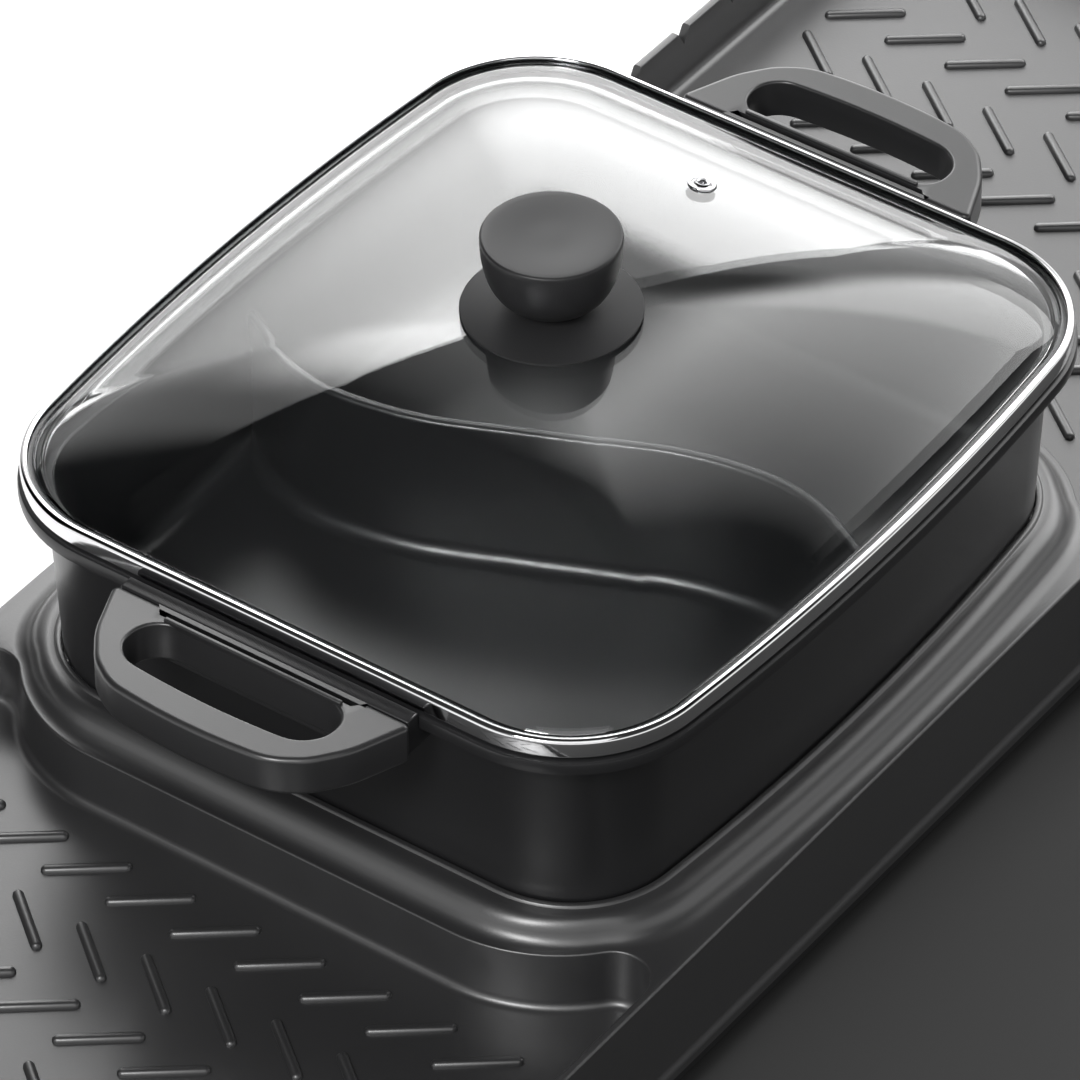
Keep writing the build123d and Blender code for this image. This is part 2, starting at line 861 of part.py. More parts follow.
# Outer body of the inlet housing, grown by a margin for the hole it passes through
def inlet_body(margin):
    middle = inlet_low + inlet_height / 2
    plane = Plane(origin=(inlet_place, fitting_face, middle), x_dir=(-1, 0, 0), z_dir=(0, 1, 0))
    face = RectangleRounded(inlet_length + 2 * margin, inlet_height + 2 * margin,
                            inlet_corner + margin)
    return extrude(plane * face, -inlet_depth)


# Inlet housing with its socket
def inlet_shroud():
    middle = inlet_low + inlet_height / 2
    plane = Plane(origin=(inlet_place, fitting_face, middle), x_dir=(-1, 0, 0), z_dir=(0, 1, 0))
    face = RectangleRounded(inlet_length - 2 * inlet_wall, inlet_height - 2 * inlet_wall,
                            inlet_corner)
    socket = extrude(plane.offset(overrun) * face, -inlet_socket_depth - overrun)
    body = inlet_body(0) - socket
    for place in (-1, 0, 1):
        x = inlet_place + place * pin_pitch
        body = body - pin_block(x, middle, pin_root)
    return body


# One contact pin of the inlet, from its root to its tip
def pin_block(x, z, root):
    wall = fitting_face - inlet_socket_depth
    return block(x - pin_thick / 2, x + pin_thick / 2, wall - root,
                 wall - pin_root + pin_length, z - pin_width / 2, z + pin_width / 2)


# Contact pins of the inlet
def inlet_pins():
    middle = inlet_low + inlet_height / 2
    return Compound(children=[pin_block(inlet_place + place * pin_pitch, middle, pin_root)
                              for place in (-1, 0, 1)])


# Terminal block on the base floor behind the inlet
def terminal_block():
    back = base_half_depth - base_wall - terminal_gap
    body = block(terminal_place - terminal_length / 2, terminal_place + terminal_length / 2,
                 back - terminal_depth, back, base_inside, base_inside + terminal_height)
    return chamfer(body.faces().sort_by(Axis.Z)[-1].edges(), terminal_height / 8)


# Points of the S of the divider, its bends cut into facets
def divider_path():
    half = [(divider_swing * u, divider_reach * v) for u, v in divider_path_share]
    (bend_x, bend_y), (end_x, end_y) = half[-2:]
    beyond = divider_overshoot / divider_reach
    half[-1] = (end_x + (end_x - bend_x) * beyond, end_y + (end_y - bend_y) * beyond)
    corners = [(-x, -y) for x, y in reversed(half)] + half
    rounds = [divider_tight_round, divider_wide_round, divider_wide_round, divider_tight_round]
    line = FilletPolyline(*corners, radius=rounds)
    points = [line @ 0]
    for edge in line.edges():
        steps = divider_facets if edge.geom_type == GeomType.CIRCLE else 1
        points = points + [edge @ (step / steps) for step in range(1, steps + 1)]
    return [(point.X, point.Y) for point in points]


# Plan of the divider at some level, the path moved to both sides
def divider_face(half_wall, level):
    path = divider_path()
    runs = []
    for (x0, y0), (x1, y1) in zip(path, path[1:]):
        size = sqrt((x1 - x0)**2 + (y1 - y0)**2)
        runs.append(((x1 - x0) / size, (y1 - y0) / size))
    sides = [[], []]
    for index, (x, y) in enumerate(path):
        before = runs[max(index - 1, 0)]
        after = runs[min(index, len(runs) - 1)]
        miter = half_wall / (1 + before[0] * after[0] + before[1] * after[1])
        shift = ((before[1] + after[1]) * miter, -(before[0] + after[0]) * miter)
        sides[0].append((x + shift[0], y + shift[1]))
        sides[1].append((x - shift[0], y - shift[1]))
    return Pos(0, 0, level) * make_face(Polyline(*sides[0], *reversed(sides[1]), close=True))


# Divider of the pot: an S in plan, drafted, with a rounded foot and crest
def divider():
    floor = pot_seat + pot_floor
    top = pot_top - divider_top_drop
    crest = divider_top_wall / 4
    foot_wall = divider_top_wall / 2 + divider_draft
    steps = [(foot_wall + divider_flare * out_share, floor + divider_flare * up_share)
             for out_share, up_share in quarter_round_share]
    steps = steps + [(divider_top_wall / 2, top - crest), (divider_top_wall / 2 - crest, top)]
    low = floor - pot_floor / 4
    body = extrude(divider_face(steps[0][0], low), pot_floor / 4)
    for (wide, start), (narrow, end) in zip(steps, steps[1:]):
        taper = degrees(atan2(wide - narrow, end - start))
        body = body + extrude(divider_face(wide, start), end - start, taper=taper)
    return body & faceted_solid((wall_inset(low) + pot_wall / 2, low),
                                (wall_inset(top) + pot_wall / 2, top))


# Inset of the pot's outer wall at some level
def wall_inset(level):
    share = (level - pot_seat) / (flange_under - pot_seat)
    return pot_foot_inset + (pot_top_inset - pot_foot_inset) * share


# Lugs cast on both ends of the pot for the handles
def pot_lugs():
    strip = lid_half_length + lug_strip_gap
    face = lid_half_length + lug_reach
    inner = lid_half_length - pot_top_inset - pot_wall / 2
    low = pot_top - lug_depth
    points = [
        (inner, low),
        (face, low),
        (face, pot_top + lug_strip_rise),
        (strip, pot_top + lug_strip_rise),
        (strip, flange_under + flange_break),
        (inner, flange_under + flange_break),
    ]
    plane = Plane(origin=(0, lug_half_length, 0), x_dir=(1, 0, 0), z_dir=(0, -1, 0))
    lug = extrude(plane * make_face(outline(points)), 2 * lug_half_length)
    lug = chamfer(lug.edges().filter_by(Axis.Z).group_by(Axis.X)[-1], lug_end_chamfer)
    for y in (-handle_screw_place, handle_screw_place):
        lug = lug - post(screw_radius, face - handle_screw_inset, y, low - overrun,
                         low + screw_bite)
    return [lug, mirror(lug, about=Plane.YZ)]


# Drafted body with a rounded foot, inside the pot's outer wall by some margin
def pot_body(margin, low=pot_seat, high=pot_top, foot_round=pot_foot_round):
    sections = [(wall_inset(low + foot_round * up_share) + margin + foot_round * in_share,
                 low + foot_round * up_share) for in_share, up_share in quarter_round_share]
    return staged_solid(*sections, (wall_inset(high) + margin, high))


# Pot: drafted walls, rounded floor, flange with a rebate, S divider and lugs
def pot():
    flange = staged_solid(
        (flange_break - flange_proud, flange_under),
        (-flange_proud, flange_under + flange_break),
        (-flange_proud, pot_top - flange_break),
        (flange_break - flange_proud, pot_top),
    )
    body = pot_body(0) + flange + pot_lugs()
    inside = pot_body(pot_wall, pot_seat + pot_floor, pot_top + overrun, pot_floor_round)
    body = body - inside + divider()
    rebate = bowed_solid((rebate_inset, pot_top - rebate_depth), (rebate_inset, pot_top + overrun))
    return body - rebate


# Loop handle of the right-hand end: drafted shoulders, finger slot, groove and rib
def handle():
    root = lid_half_length + lug_reach
    shoulder = lid_half_length + handle_shoulder
    outer = lid_half_length + handle_reach
    top = pot_top + lug_strip_rise
    low = top - handle_depth
    points = [
        (root, -handle_root_half),
        (shoulder, -handle_shoulder_half),
        (outer, -handle_outer_half),
        (outer, handle_outer_half),
        (shoulder, handle_shoulder_half),
        (root, handle_root_half),
    ]
    rounds = [handle_edge, handle_shoulder_round, handle_outer_round, handle_outer_round,
              handle_shoulder_round, handle_edge]
    plan = make_face(FilletPolyline(*points, radius=rounds, close=True))
    body = Pos(0, 0, low) * extrude(plan, handle_depth)
    faces = body.faces().sort_by(Axis.Z)
    body = chamfer(faces[0].edges() + faces[-1].edges(), handle_bevel)
    slot_x = lid_half_length + grip_slot_start + grip_slot_width / 2
    slot = RectangleRounded(grip_slot_width, grip_slot_length, grip_slot_round)
    body = body - Pos(slot_x, 0, low - overrun) * extrude(slot, handle_depth + 2 * overrun)
    groove = [
        (root - overrun, -groove_half_length),
        (root + groove_width, -groove_half_length + groove_point),
        (root + groove_width, groove_half_length - groove_point),
        (root - overrun, groove_half_length),
    ]
    groove_face = Pos(0, 0, top - groove_depth) * make_face(outline(groove))
    body = body - extrude(groove_face, groove_depth + overrun)
    rib_x = lid_half_length + grip_slot_start - lip_rib_width
    rib_half = grip_slot_length / 2 - grip_slot_round / 2
    body = body + block(rib_x, rib_x + lip_rib_width, -rib_half, rib_half,
                        top - lip_rib_rise, top + lip_rib_rise)
    tongue_top = pot_top - lug_depth
    tongue = block(root - tongue_reach, root + groove_width, -tongue_half_length,
                   tongue_half_length, tongue_top - tongue_depth, tongue_top)
    body = body + tongue
    for y in (-handle_screw_place, handle_screw_place):
        body = body - post(screw_radius + running_fit, root - handle_screw_inset, y,
                           tongue_top - tongue_depth - overrun, tongue_top + overrun)
    return body


# Screws from below through the handle tongues into the lugs
def handle_screws():
    tongue_top = pot_top - lug_depth
    low = tongue_top - tongue_depth
    screws = []
    for side in (-1, 1):
        for y in (-handle_screw_place, handle_screw_place):
            x = side * (lid_half_length + lug_reach - handle_screw_inset)
            head = post(screw_head_radius, x, y, low - screw_head_height, low)
            screws.append(head + post(screw_radius, x, y, low, tongue_top + screw_bite))
    return Compound(children=screws)


# Steel rim of the lid: band, folded lip, ledge and locating tongue
def lid_rim():
    body = bowed_solid((rim_edge, rim_low), (0, rim_low + rim_edge), (0, rim_top - rim_edge),
                       (rim_edge, rim_top))
    channel_top = rim_top - rim_sheet + glass_edge_fit
    body = body - bowed_solid((rim_sheet, ledge_top), (rim_sheet, channel_top))
    body = body - bowed_solid((rim_lip, channel_top - overrun), (rim_lip, rim_top + overrun))
    body = body - bowed_solid((rim_ledge, rim_low - overrun), (rim_ledge, ledge_top + overrun))
    outer = rebate_inset + rim_tongue_fit
    tongue = bowed_solid((outer, pot_top - rebate_depth + seat_gap), (outer, rim_low + rim_edge))
    hollow = bowed_solid((rim_ledge, pot_top - rebate_depth - overrun),
                         (rim_ledge, rim_low + rim_edge + overrun))
    return body + (tongue - hollow)


# Rise of the dome at some share of its reach, flat where the last outline ends
def dome_swell(share):
    across, up = dome_swell_share
    flat = (1 - dome_share[-1]**across)**up
    return dome_rise * (1 - share**across)**up / flat


# Seat plane of the vent eyelet on the dome
def vent_plane():
    reach = lid_half_length - dome_inset
    share = vent_x / reach
    step = vent_radius / reach
    slope = (dome_swell(share - step) - dome_swell(share + step)) / (2 * vent_radius)
    tilt = degrees(atan(slope))
    origin = Location((vent_x, vent_y, glass_top + dome_swell(share) - vent_flange / 2))
    return Plane(origin * Location((0, 0, 0), (0, tilt, 0)))


# Domed glass with its edge, screw hole and vent hole
def lid_glass():
    edge_inset = rim_sheet + glass_edge_fit
    hollow_inset = dome_inset + glass_wall
    outer = [(dome_inset, glass_top + dome_swell(share), share) for share in dome_share]
    hollow = [(hollow_inset, glass_top - glass_wall + dome_swell(share), share)
              for share in dome_share]
    body = faceted_solid((edge_inset, ledge_top), (edge_inset, glass_top))
    body = body + faceted_solid((dome_inset, ledge_top), *outer)
    body = body - faceted_solid((hollow_inset, ledge_top - overrun), *hollow)
    body = body - post(knob_screw_radius + running_fit, 0, 0, ledge_top, dome_top + overrun)
    seat = vent_plane()
    body = body - extrude(seat * RegularPolygon(vent_radius + running_fit, post_sides),
                          dome_rise / 2)
    return body - extrude(seat * RegularPolygon(vent_barrel_radius + running_fit, post_sides),
                          dome_rise / 2, both=True)


# Metal eyelet of the steam vent
def vent_eyelet():
    seat = vent_plane()
    flange = extrude(seat * RegularPolygon(vent_radius, post_sides), vent_flange)
    flange = chamfer(flange.faces().sort_by(Axis.Z)[-1].edges(), vent_flange / 3)
    barrel = extrude(seat * RegularPolygon(vent_barrel_radius, post_sides), -glass_wall - vent_flange)
    bore = extrude(seat.offset(-dome_rise / 2) * RegularPolygon(vent_bore_radius, post_sides),
                   dome_rise)
    return flange + barrel - bore


# Silicone washer between glass and knob skirt
def knob_washer():
    return post(washer_radius, 0, 0, dome_top, dome_top + washer_height) - post(
        knob_screw_radius + running_fit, 0, 0, dome_top - overrun, dome_top + washer_height + overrun)


# Conical skirt under the knob
def knob_skirt():
    low = dome_top + seat_gap
    body = stack([
        (knob_skirt_radius - knob_skirt_edge / 3, low),
        (knob_skirt_radius, low + knob_skirt_edge / 3),
        (knob_skirt_radius, low + knob_skirt_edge * 2 / 3),
        (knob_skirt_radius - knob_skirt_edge / 3, low + knob_skirt_edge),
        (knob_foot_radius, low + knob_skirt_edge + knob_skirt_rise),
    ], 0, 0, knob_sides)
    body = body - post(washer_radius + slip_fit, 0, 0, low - overrun, dome_top + washer_height)
    return body - post(knob_screw_radius + running_fit, 0, 0, low - overrun,
                       low + knob_skirt_edge + knob_skirt_rise + overrun)


# Top face of the knob skirt
def knob_seat():
    return dome_top + seat_gap + knob_skirt_edge + knob_skirt_rise


# Neck ring between skirt and cup
def knob_neck():
    level = knob_seat()
    ring = post(knob_neck_radius, 0, 0, level, level + knob_neck_height, knob_sides)
    return ring - post(
        knob_screw_radius + running_fit, 0, 0, level - overrun, level + knob_neck_height + overrun)


# Cup-shaped grip of the knob with a dished top
def knob_grip():
    low = knob_seat() + knob_neck_height
    high = low + knob_height
    edge = knob_rim * (1 - sqrt(0.5))
    sections = []
    for out_share, up_share in knob_swell_share:
        sections.append((knob_foot_radius + (knob_radius - knob_foot_radius) * out_share,
                         low + (knob_height - knob_rim) * up_share))
    sections = sections + [(knob_radius - edge, high - edge), (knob_radius - knob_rim, high)]
    dish = [
        (knob_radius * knob_dish_share, high - knob_dish),
        (knob_radius - 2 * knob_rim, high - knob_dish / 2),
        (knob_radius - knob_rim, high),
        (knob_radius - knob_rim, high + overrun),
    ]
    body = stack(sections, 0, 0, knob_sides) - stack(dish, 0, 0, knob_sides)
    return body - post(knob_screw_radius + running_fit, 0, 0, low - overrun, low + knob_screw_bite)


# Screw from inside the lid up into the knob
def knob_screw():
    low = dome_top - glass_wall
    head = post(knob_screw_head_radius, 0, 0, low - knob_screw_head_height, low)
    head = chamfer(head.faces().sort_by(Axis.Z)[0].edges(), knob_screw_head_height / 3)
    tip = knob_seat() + knob_neck_height + knob_screw_bite
    return head + post(knob_screw_radius, 0, 0, low, tip)


right_handle = handle()
nodes = {
    "cast_top": cast_top(),
    "base_housing": base_housing(),
    "rubber_feet": rubber_feet(),
    "body_screws": body_screws(),
    "well_pan": well_pan(),
    "pan_screws": pan_screws(),
    "heating_plate": heating_plate(),
    "plate_posts": plate_posts(),
    "plate_element": plate_element(),
    "thermal_fuse": thermal_fuse(),
    "grill_element_left": grill_element(-1),
    "grill_element_right": grill_element(1),
    "element_clips": element_clips(),
    "heat_shield_left": heat_shield(-1),
    "heat_shield_right": heat_shield(1),
    "control_panel": control_panel(),
    "indicator_lenses": indicator_lenses(),
    "pot_thermostat": thermostat(dial_places[0]),
    "grill_thermostat": thermostat(dial_places[1]),
    "pot_spindle": spindle(dial_places[0]),
    "grill_spindle": spindle(dial_places[1]),
    "pot_dial": dial(dial_places[0]),
    "grill_dial": dial(dial_places[1]),
    "inlet_shroud": inlet_shroud(),
    "inlet_pins": inlet_pins(),
    "terminal_block": terminal_block(),
    "pot": pot(),
    "handle_left": mirror(right_handle, about=Plane.YZ),
    "handle_right": right_handle,
    "handle_screws": handle_screws(),
    "lid_rim": lid_rim(),
    "lid_glass": lid_glass(),
    "vent_eyelet": vent_eyelet(),
    "knob_washer": knob_washer(),
    "knob_skirt": knob_skirt(),
    "knob_neck": knob_neck(),
    "knob_grip": knob_grip(),
    "knob_screw": knob_screw(),
}
for name, shape in nodes.items():
    export_step(shape, f"parts/{name}.step")
    print(name, len(shape.solids()), round(shape.volume))
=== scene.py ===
import bmesh
import bpy
from math import atan2, cos, hypot, inf, pi, radians, sin, sqrt, tan
from mathutils import Matrix, Vector


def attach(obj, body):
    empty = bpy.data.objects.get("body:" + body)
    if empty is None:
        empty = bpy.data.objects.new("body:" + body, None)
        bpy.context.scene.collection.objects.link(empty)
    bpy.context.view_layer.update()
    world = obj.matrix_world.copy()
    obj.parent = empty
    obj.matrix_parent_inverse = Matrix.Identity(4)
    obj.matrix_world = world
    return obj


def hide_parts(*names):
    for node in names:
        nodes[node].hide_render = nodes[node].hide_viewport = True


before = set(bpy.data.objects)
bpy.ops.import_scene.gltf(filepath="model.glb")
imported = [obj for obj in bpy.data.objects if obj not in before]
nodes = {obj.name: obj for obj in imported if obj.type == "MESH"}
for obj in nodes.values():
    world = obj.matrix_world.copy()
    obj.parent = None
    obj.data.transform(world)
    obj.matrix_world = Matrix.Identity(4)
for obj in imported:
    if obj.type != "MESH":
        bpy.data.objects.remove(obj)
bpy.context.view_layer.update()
mm = 0.001
print("frame loaded,", len(nodes), "nodes")

# sizes that several pieces share, in millimetres
common = {
    "lidHalfLength": 150.0, "lidHalfDepth": 133.9, "lidBow": 10.2, "lidCorner": 50.0,
    "skirtLevel": 13.3, "rimLevel": 58.0, "floorLevel": 35.4, "trayUnder": 32.0,
    "potSeat": 60.0, "potTop": 136.0, "rimLow": 137.3, "rimTop": 144.3,
    "glassTop": 142.9, "domeRise": 31.6, "domeInset": 4.6,
    "halfLength": 432.0, "halfDepth": 142.5, "skirtWall": 2.8,
}
bowRadius = (common["lidHalfLength"]**2 + common["lidBow"]**2) / (2 * common["lidBow"])

# camera at the photograph's angle, in millimetres and degrees, clipped in metres
camera = {
    "place": (-1764.84, -1276.52, 1927.71), "turn": 54.017, "tilt": 40.366, "roll": -0.396,
    "lens": 287.148, "sensor": 36, "shift": -0.00106, "clip": (0.05, 60),
}


def newObject(name, data):
    thing = bpy.data.objects.new(name, data)
    bpy.context.scene.collection.objects.link(thing)
    return thing


def placeCamera():
    turn, tilt, roll = (radians(camera[key]) for key in ("turn", "tilt", "roll"))
    ahead = Vector((sin(turn) * cos(tilt), cos(turn) * cos(tilt), -sin(tilt)))
    right = Vector((cos(turn), -sin(turn), 0))
    up = right.cross(ahead)
    across = right * cos(roll) + up * sin(roll)
    upward = up * cos(roll) - right * sin(roll)
    data = bpy.data.cameras.new("camera")
    data.lens = camera["lens"]
    data.sensor_width = camera["sensor"]
    data.shift_x = camera["shift"]
    data.clip_start, data.clip_end = camera["clip"]
    thing = newObject("camera", data)
    matrix = Matrix((across, upward, -ahead)).transposed().to_4x4()
    matrix.translation = Vector(camera["place"]) * mm
    thing.matrix_world = matrix
    bpy.context.scene.camera = thing


# soft lamps: a fill from the camera's side and a key from the left that catches edges
lamps = {
    "fillLamp": {"place": (-1.7, -1.3, 2.3), "aim": (0, 0, 0.1), "size": 2.2, "power": 16},
    "keyLamp": {"place": (-2.05, -0.25, 1.95), "aim": (-0.1, 0, 0.1), "size": 0.7, "power": 38},
}


def placeLamp(name, lamp):
    data = bpy.data.lights.new(name, "AREA")
    data.size = lamp["size"]
    data.energy = lamp["power"]
    thing = newObject(name, data)
    thing.location = lamp["place"]
    way = Vector(lamp["aim"]) - Vector(lamp["place"])
    thing.rotation_euler = way.to_track_quat("-Z", "Y").to_euler()


placeCamera()
for lampName, lamp in lamps.items():
    placeLamp(lampName, lamp)
bpy.context.scene.view_settings.view_transform = "Standard"
print("camera and lamps placed")


# helpers for node trees of both kinds

floatKind, wholeKind, colourKind = "NodeSocketFloat", "NodeSocketInt", "NodeSocketColor"
vectorKind, shapeKind = "NodeSocketVector", "NodeSocketGeometry"
objectKind, finishKind = "NodeSocketObject", "NodeSocketMaterial"


def newTree(name, kind, inputs, outputs):
    # inputs are (label, kind) or (label, kind, value), outputs are (label, kind)
    tree = bpy.data.node_groups.new(name, kind)
    for label, socketKind, *value in inputs:
        socket = tree.interface.new_socket(name=label, in_out="INPUT", socket_type=socketKind)
        if value:
            socket.default_value = value[0]
    for label, socketKind in outputs:
        tree.interface.new_socket(name=label, in_out="OUTPUT", socket_type=socketKind)
    return tree, tree.nodes.new("NodeGroupInput").outputs, tree.nodes.new("NodeGroupOutput").inputs


def addNode(tree, kind, settings=None, values=None):
    node = tree.nodes.new(kind)
    for key, value in (settings or {}).items():
        setattr(node, key, value)
    for key, value in (values or {}).items():
        if isinstance(value, bpy.types.NodeSocket):
            tree.links.new(value, node.inputs[key])
        else:
            node.inputs[key].default_value = value
    return node


def combine(tree, operation, first, second):
    return addNode(tree, "ShaderNodeMath", {"operation": operation}, {0: first, 1: second}).outputs[0]


def times(tree, first, *others):
    for other in others:
        first = combine(tree, "MULTIPLY", first, other)
    return first


def ramp(tree, value, start, end, low, high, kind="SMOOTHSTEP"):
    return addNode(tree, "ShaderNodeMapRange", {"interpolation_type": kind}, {
        "Value": value, "From Min": start, "From Max": end, "To Min": low, "To Max": high}).outputs[0]


def placeParts(tree, label="Object"):
    place = addNode(tree, "ShaderNodeTexCoord").outputs[label]
    return addNode(tree, "ShaderNodeSeparateXYZ", values={0: place}).outputs


# shader node groups

grainOutputs = [("Color", colourKind), ("Roughness", floatKind), ("Height", floatKind)]


def addNoise(tree, place, scale, detail, roughness):
    return addNode(tree, "ShaderNodeTexNoise", values={
        "Vector": place, "Scale": scale, "Detail": detail, "Roughness": roughness}).outputs["Fac"]


def finishGrain(group, enter, leave, change, height):
    # tone and roughness drift with the change; the height feeds the bump
    gloss = combine(group, "ADD", enter["Roughness"], times(group, change, enter["Roughness Spread"]))
    lift = combine(group, "ADD", 1.0, times(group, change, enter["Tone Spread"]))
    tone = addNode(group, "ShaderNodeVectorMath", {"operation": "SCALE"}, {
        0: enter["Tone"], "Scale": lift}).outputs[0]
    for label, value in (("Color", tone), ("Roughness", gloss), ("Height", height)):
        group.links.new(value, leave[label])
    return group


def makeGrainGroup():
    # sprayed coat: fine orange peel, slow changes of gloss, faint wipe marks
    group, enter, leave = newTree("sprayedGrain", "ShaderNodeTree", [
        ("Tone", colourKind, (0.03, 0.03, 0.031, 1)), ("Tone Spread", floatKind, 0.15),
        ("Roughness", floatKind, 0.4), ("Roughness Spread", floatKind, 0.08),
        ("Grain Scale", floatKind, 900.0), ("Wipe Scale", floatKind, 9.0)], grainOutputs)
    place = addNode(group, "ShaderNodeTexCoord").outputs["Object"]
    grain = addNoise(group, place, enter["Grain Scale"], 2.0, 0.55)
    wipe = addNoise(group, place, enter["Wipe Scale"], 4.0, 0.6)
    grainOff, wipeOff = (combine(group, "SUBTRACT", value, 0.5) for value in (grain, wipe))
    both = combine(group, "ADD", times(group, grainOff, 0.6), wipeOff)
    return finishGrain(group, enter, leave, both, grain)


def makeDustGroup():
    # a thin film that settles on faces that look up, broken by slow noise
    group, enter, leave = newTree("settledDust", "ShaderNodeTree", [
        ("Color", colourKind, (0.03, 0.03, 0.03, 1)), ("Amount", floatKind, 0.03),
        ("Patch Scale", floatKind, 14.0)], [("Color", colourKind)])
    place = addNode(group, "ShaderNodeTexCoord").outputs["Object"]
    normal = addNode(group, "ShaderNodeNewGeometry").outputs["Normal"]
    upward = addNode(group, "ShaderNodeSeparateXYZ", values={0: normal}).outputs["Z"]
    patches = addNoise(group, place, enter["Patch Scale"], 5.0, 0.5)
    facing = ramp(group, upward, 0.6, 1.0, 0.0, 1.0, "LINEAR")
    cover = ramp(group, patches, 0.35, 0.75, 0.0, 1.0, "LINEAR")
    mix = addNode(group, "ShaderNodeMix", {"data_type": "RGBA"}, {
        "Factor": times(group, facing, cover, enter["Amount"]), "A": enter["Color"],
        "B": (0.5, 0.49, 0.47, 1)})
    group.links.new(mix.outputs["Result"], leave["Color"])
    return group


def makeBrushGroup():
    # drawn or turned metal: long fine lines along one direction
    group, enter, leave = newTree("brushedLines", "ShaderNodeTree", [
        ("Tone", colourKind, (0.6, 0.6, 0.6, 1)), ("Tone Spread", floatKind, 0.1),
        ("Roughness", floatKind, 0.3), ("Roughness Spread", floatKind, 0.15),
        ("Stretch", vectorKind, (20.0, 900.0, 900.0))], grainOutputs)
    place = addNode(group, "ShaderNodeTexCoord").outputs["Object"]
    long = addNode(group, "ShaderNodeMapping", values={"Vector": place, "Scale": enter["Stretch"]})
    lines = addNoise(group, long.outputs[0], 1.0, 3.0, 0.6)
    return finishGrain(group, enter, leave, combine(group, "SUBTRACT", lines, 0.5), lines)


grainGroup, dustGroup, brushGroup = makeGrainGroup(), makeDustGroup(), makeBrushGroup()


# materials

def newMaterial(name, kind="ShaderNodeBsdfPrincipled"):
    material = bpy.data.materials.new(name)
    material.use_nodes = True
    tree = material.node_tree
    tree.nodes.clear()
    output = tree.nodes.new("ShaderNodeOutputMaterial")
    shader = tree.nodes.new(kind)
    tree.links.new(shader.outputs[0], output.inputs["Surface"])
    return material, tree, shader


def setInputs(shader, values):
    for label, value in values.items():
        shader.inputs[label].default_value = value


def addSurface(tree, shader, group, tone, spread, roughness, roughSpread, more, depth=None):
    # drives tone, roughness and, where a depth in millimetres is given, the bump
    surface = addNode(tree, "ShaderNodeGroup", {"node_tree": group}, {
        "Tone": (*tone, 1), "Tone Spread": spread, "Roughness": roughness,
        "Roughness Spread": roughSpread, **more}).outputs
    tree.links.new(surface["Color"], shader.inputs["Base Color"])
    tree.links.new(surface["Roughness"], shader.inputs["Roughness"])
    if depth:
        bump = addNode(tree, "ShaderNodeBump", values={
            "Height": surface["Height"], "Distance": depth * mm, "Strength": 1.0})
        tree.links.new(bump.outputs[0], shader.inputs["Normal"])
    return surface["Color"]


def coatedMaterial(name, tone, spread, roughness, roughSpread, scale, depth, dust=0.0, specular=0.5,
                   coat=0.0, coatRough=0.12):
    material, tree, shader = newMaterial(name)
    colour = addSurface(tree, shader, grainGroup, tone, spread, roughness, roughSpread,
                        {"Grain Scale": scale}, depth)
    if dust:
        film = addNode(tree, "ShaderNodeGroup", {"node_tree": dustGroup}, {
            "Color": colour, "Amount": dust})
        tree.links.new(film.outputs["Color"], shader.inputs["Base Color"])
    setInputs(shader, {"Specular IOR Level": specular, "Coat Weight": coat,
                       "Coat Roughness": coatRough})
    return material


def metalMaterial(name, tone, spread, roughness, roughSpread, stretch, depth):
    material, tree, shader = newMaterial(name)
    addSurface(tree, shader, brushGroup, tone, spread, roughness, roughSpread,
               {"Stretch": stretch}, depth)
    setInputs(shader, {"Metallic": 1.0})
    return material


def glassMaterial():
    # clear tempered glass with faint wipe haze; lamps shine through it into the pot
    material, tree, shader = newMaterial("temperedGlass")
    output = next(node for node in tree.nodes if node.type == "OUTPUT_MATERIAL")
    addSurface(tree, shader, grainGroup, (0.95, 0.96, 0.96), 0.01, 0.012, 0.012,
               {"Grain Scale": 9.0, "Wipe Scale": 5.0})
    setInputs(shader, {"Transmission Weight": 1.0, "IOR": 1.52})
    clear = addNode(tree, "ShaderNodeBsdfTransparent", values={"Color": (0.9, 0.92, 0.92, 1)})
    path = addNode(tree, "ShaderNodeLightPath").outputs
    mix = addNode(tree, "ShaderNodeMixShader", values={
        0: combine(tree, "MAXIMUM", path["Is Shadow Ray"], path["Is Diffuse Ray"]),
        1: shader.outputs[0], 2: clear.outputs[0]})
    tree.links.new(mix.outputs[0], output.inputs["Surface"])
    return material


def lensMaterial():
    material, tree, shader = newMaterial("amberLens")
    addSurface(tree, shader, grainGroup, (0.75, 0.16, 0.03), 0.15, 0.14, 0.05,
               {"Grain Scale": 500.0})
    setInputs(shader, {"Transmission Weight": 0.3})
    return material


# tone, tone spread, roughness, roughness spread, grain scale, grain depth in millimetres
coats = {
    "nonstickCoat": ((0.019, 0.019, 0.020), 0.3, 0.42, 0.12, 1100.0, 0.035),
    "potCoat": ((0.017, 0.017, 0.018), 0.2, 0.32, 0.08, 1400.0, 0.02),
    "handleResin": ((0.021, 0.021, 0.022), 0.2, 0.33, 0.07, 1600.0, 0.012),
    "knobResin": ((0.022, 0.022, 0.023), 0.2, 0.38, 0.06, 1600.0, 0.010),
    "knobMatt": ((0.022, 0.022, 0.023), 0.2, 0.55, 0.06, 1600.0, 0.010),
    "housingResin": ((0.016, 0.016, 0.017), 0.3, 0.5, 0.1, 1200.0, 0.03),
    "footRubber": ((0.03, 0.03, 0.03), 0.4, 0.75, 0.1, 700.0, 0.05),
    "panelGloss": ((0.015, 0.015, 0.016), 0.1, 0.16, 0.05, 400.0, 0.003),
    "printInk": ((0.6, 0.6, 0.59), 0.06, 0.5, 0.1, 900.0, 0.004),
    "insulatorCeramic": ((0.72, 0.7, 0.65), 0.06, 0.6, 0.1, 900.0, 0.02),
}
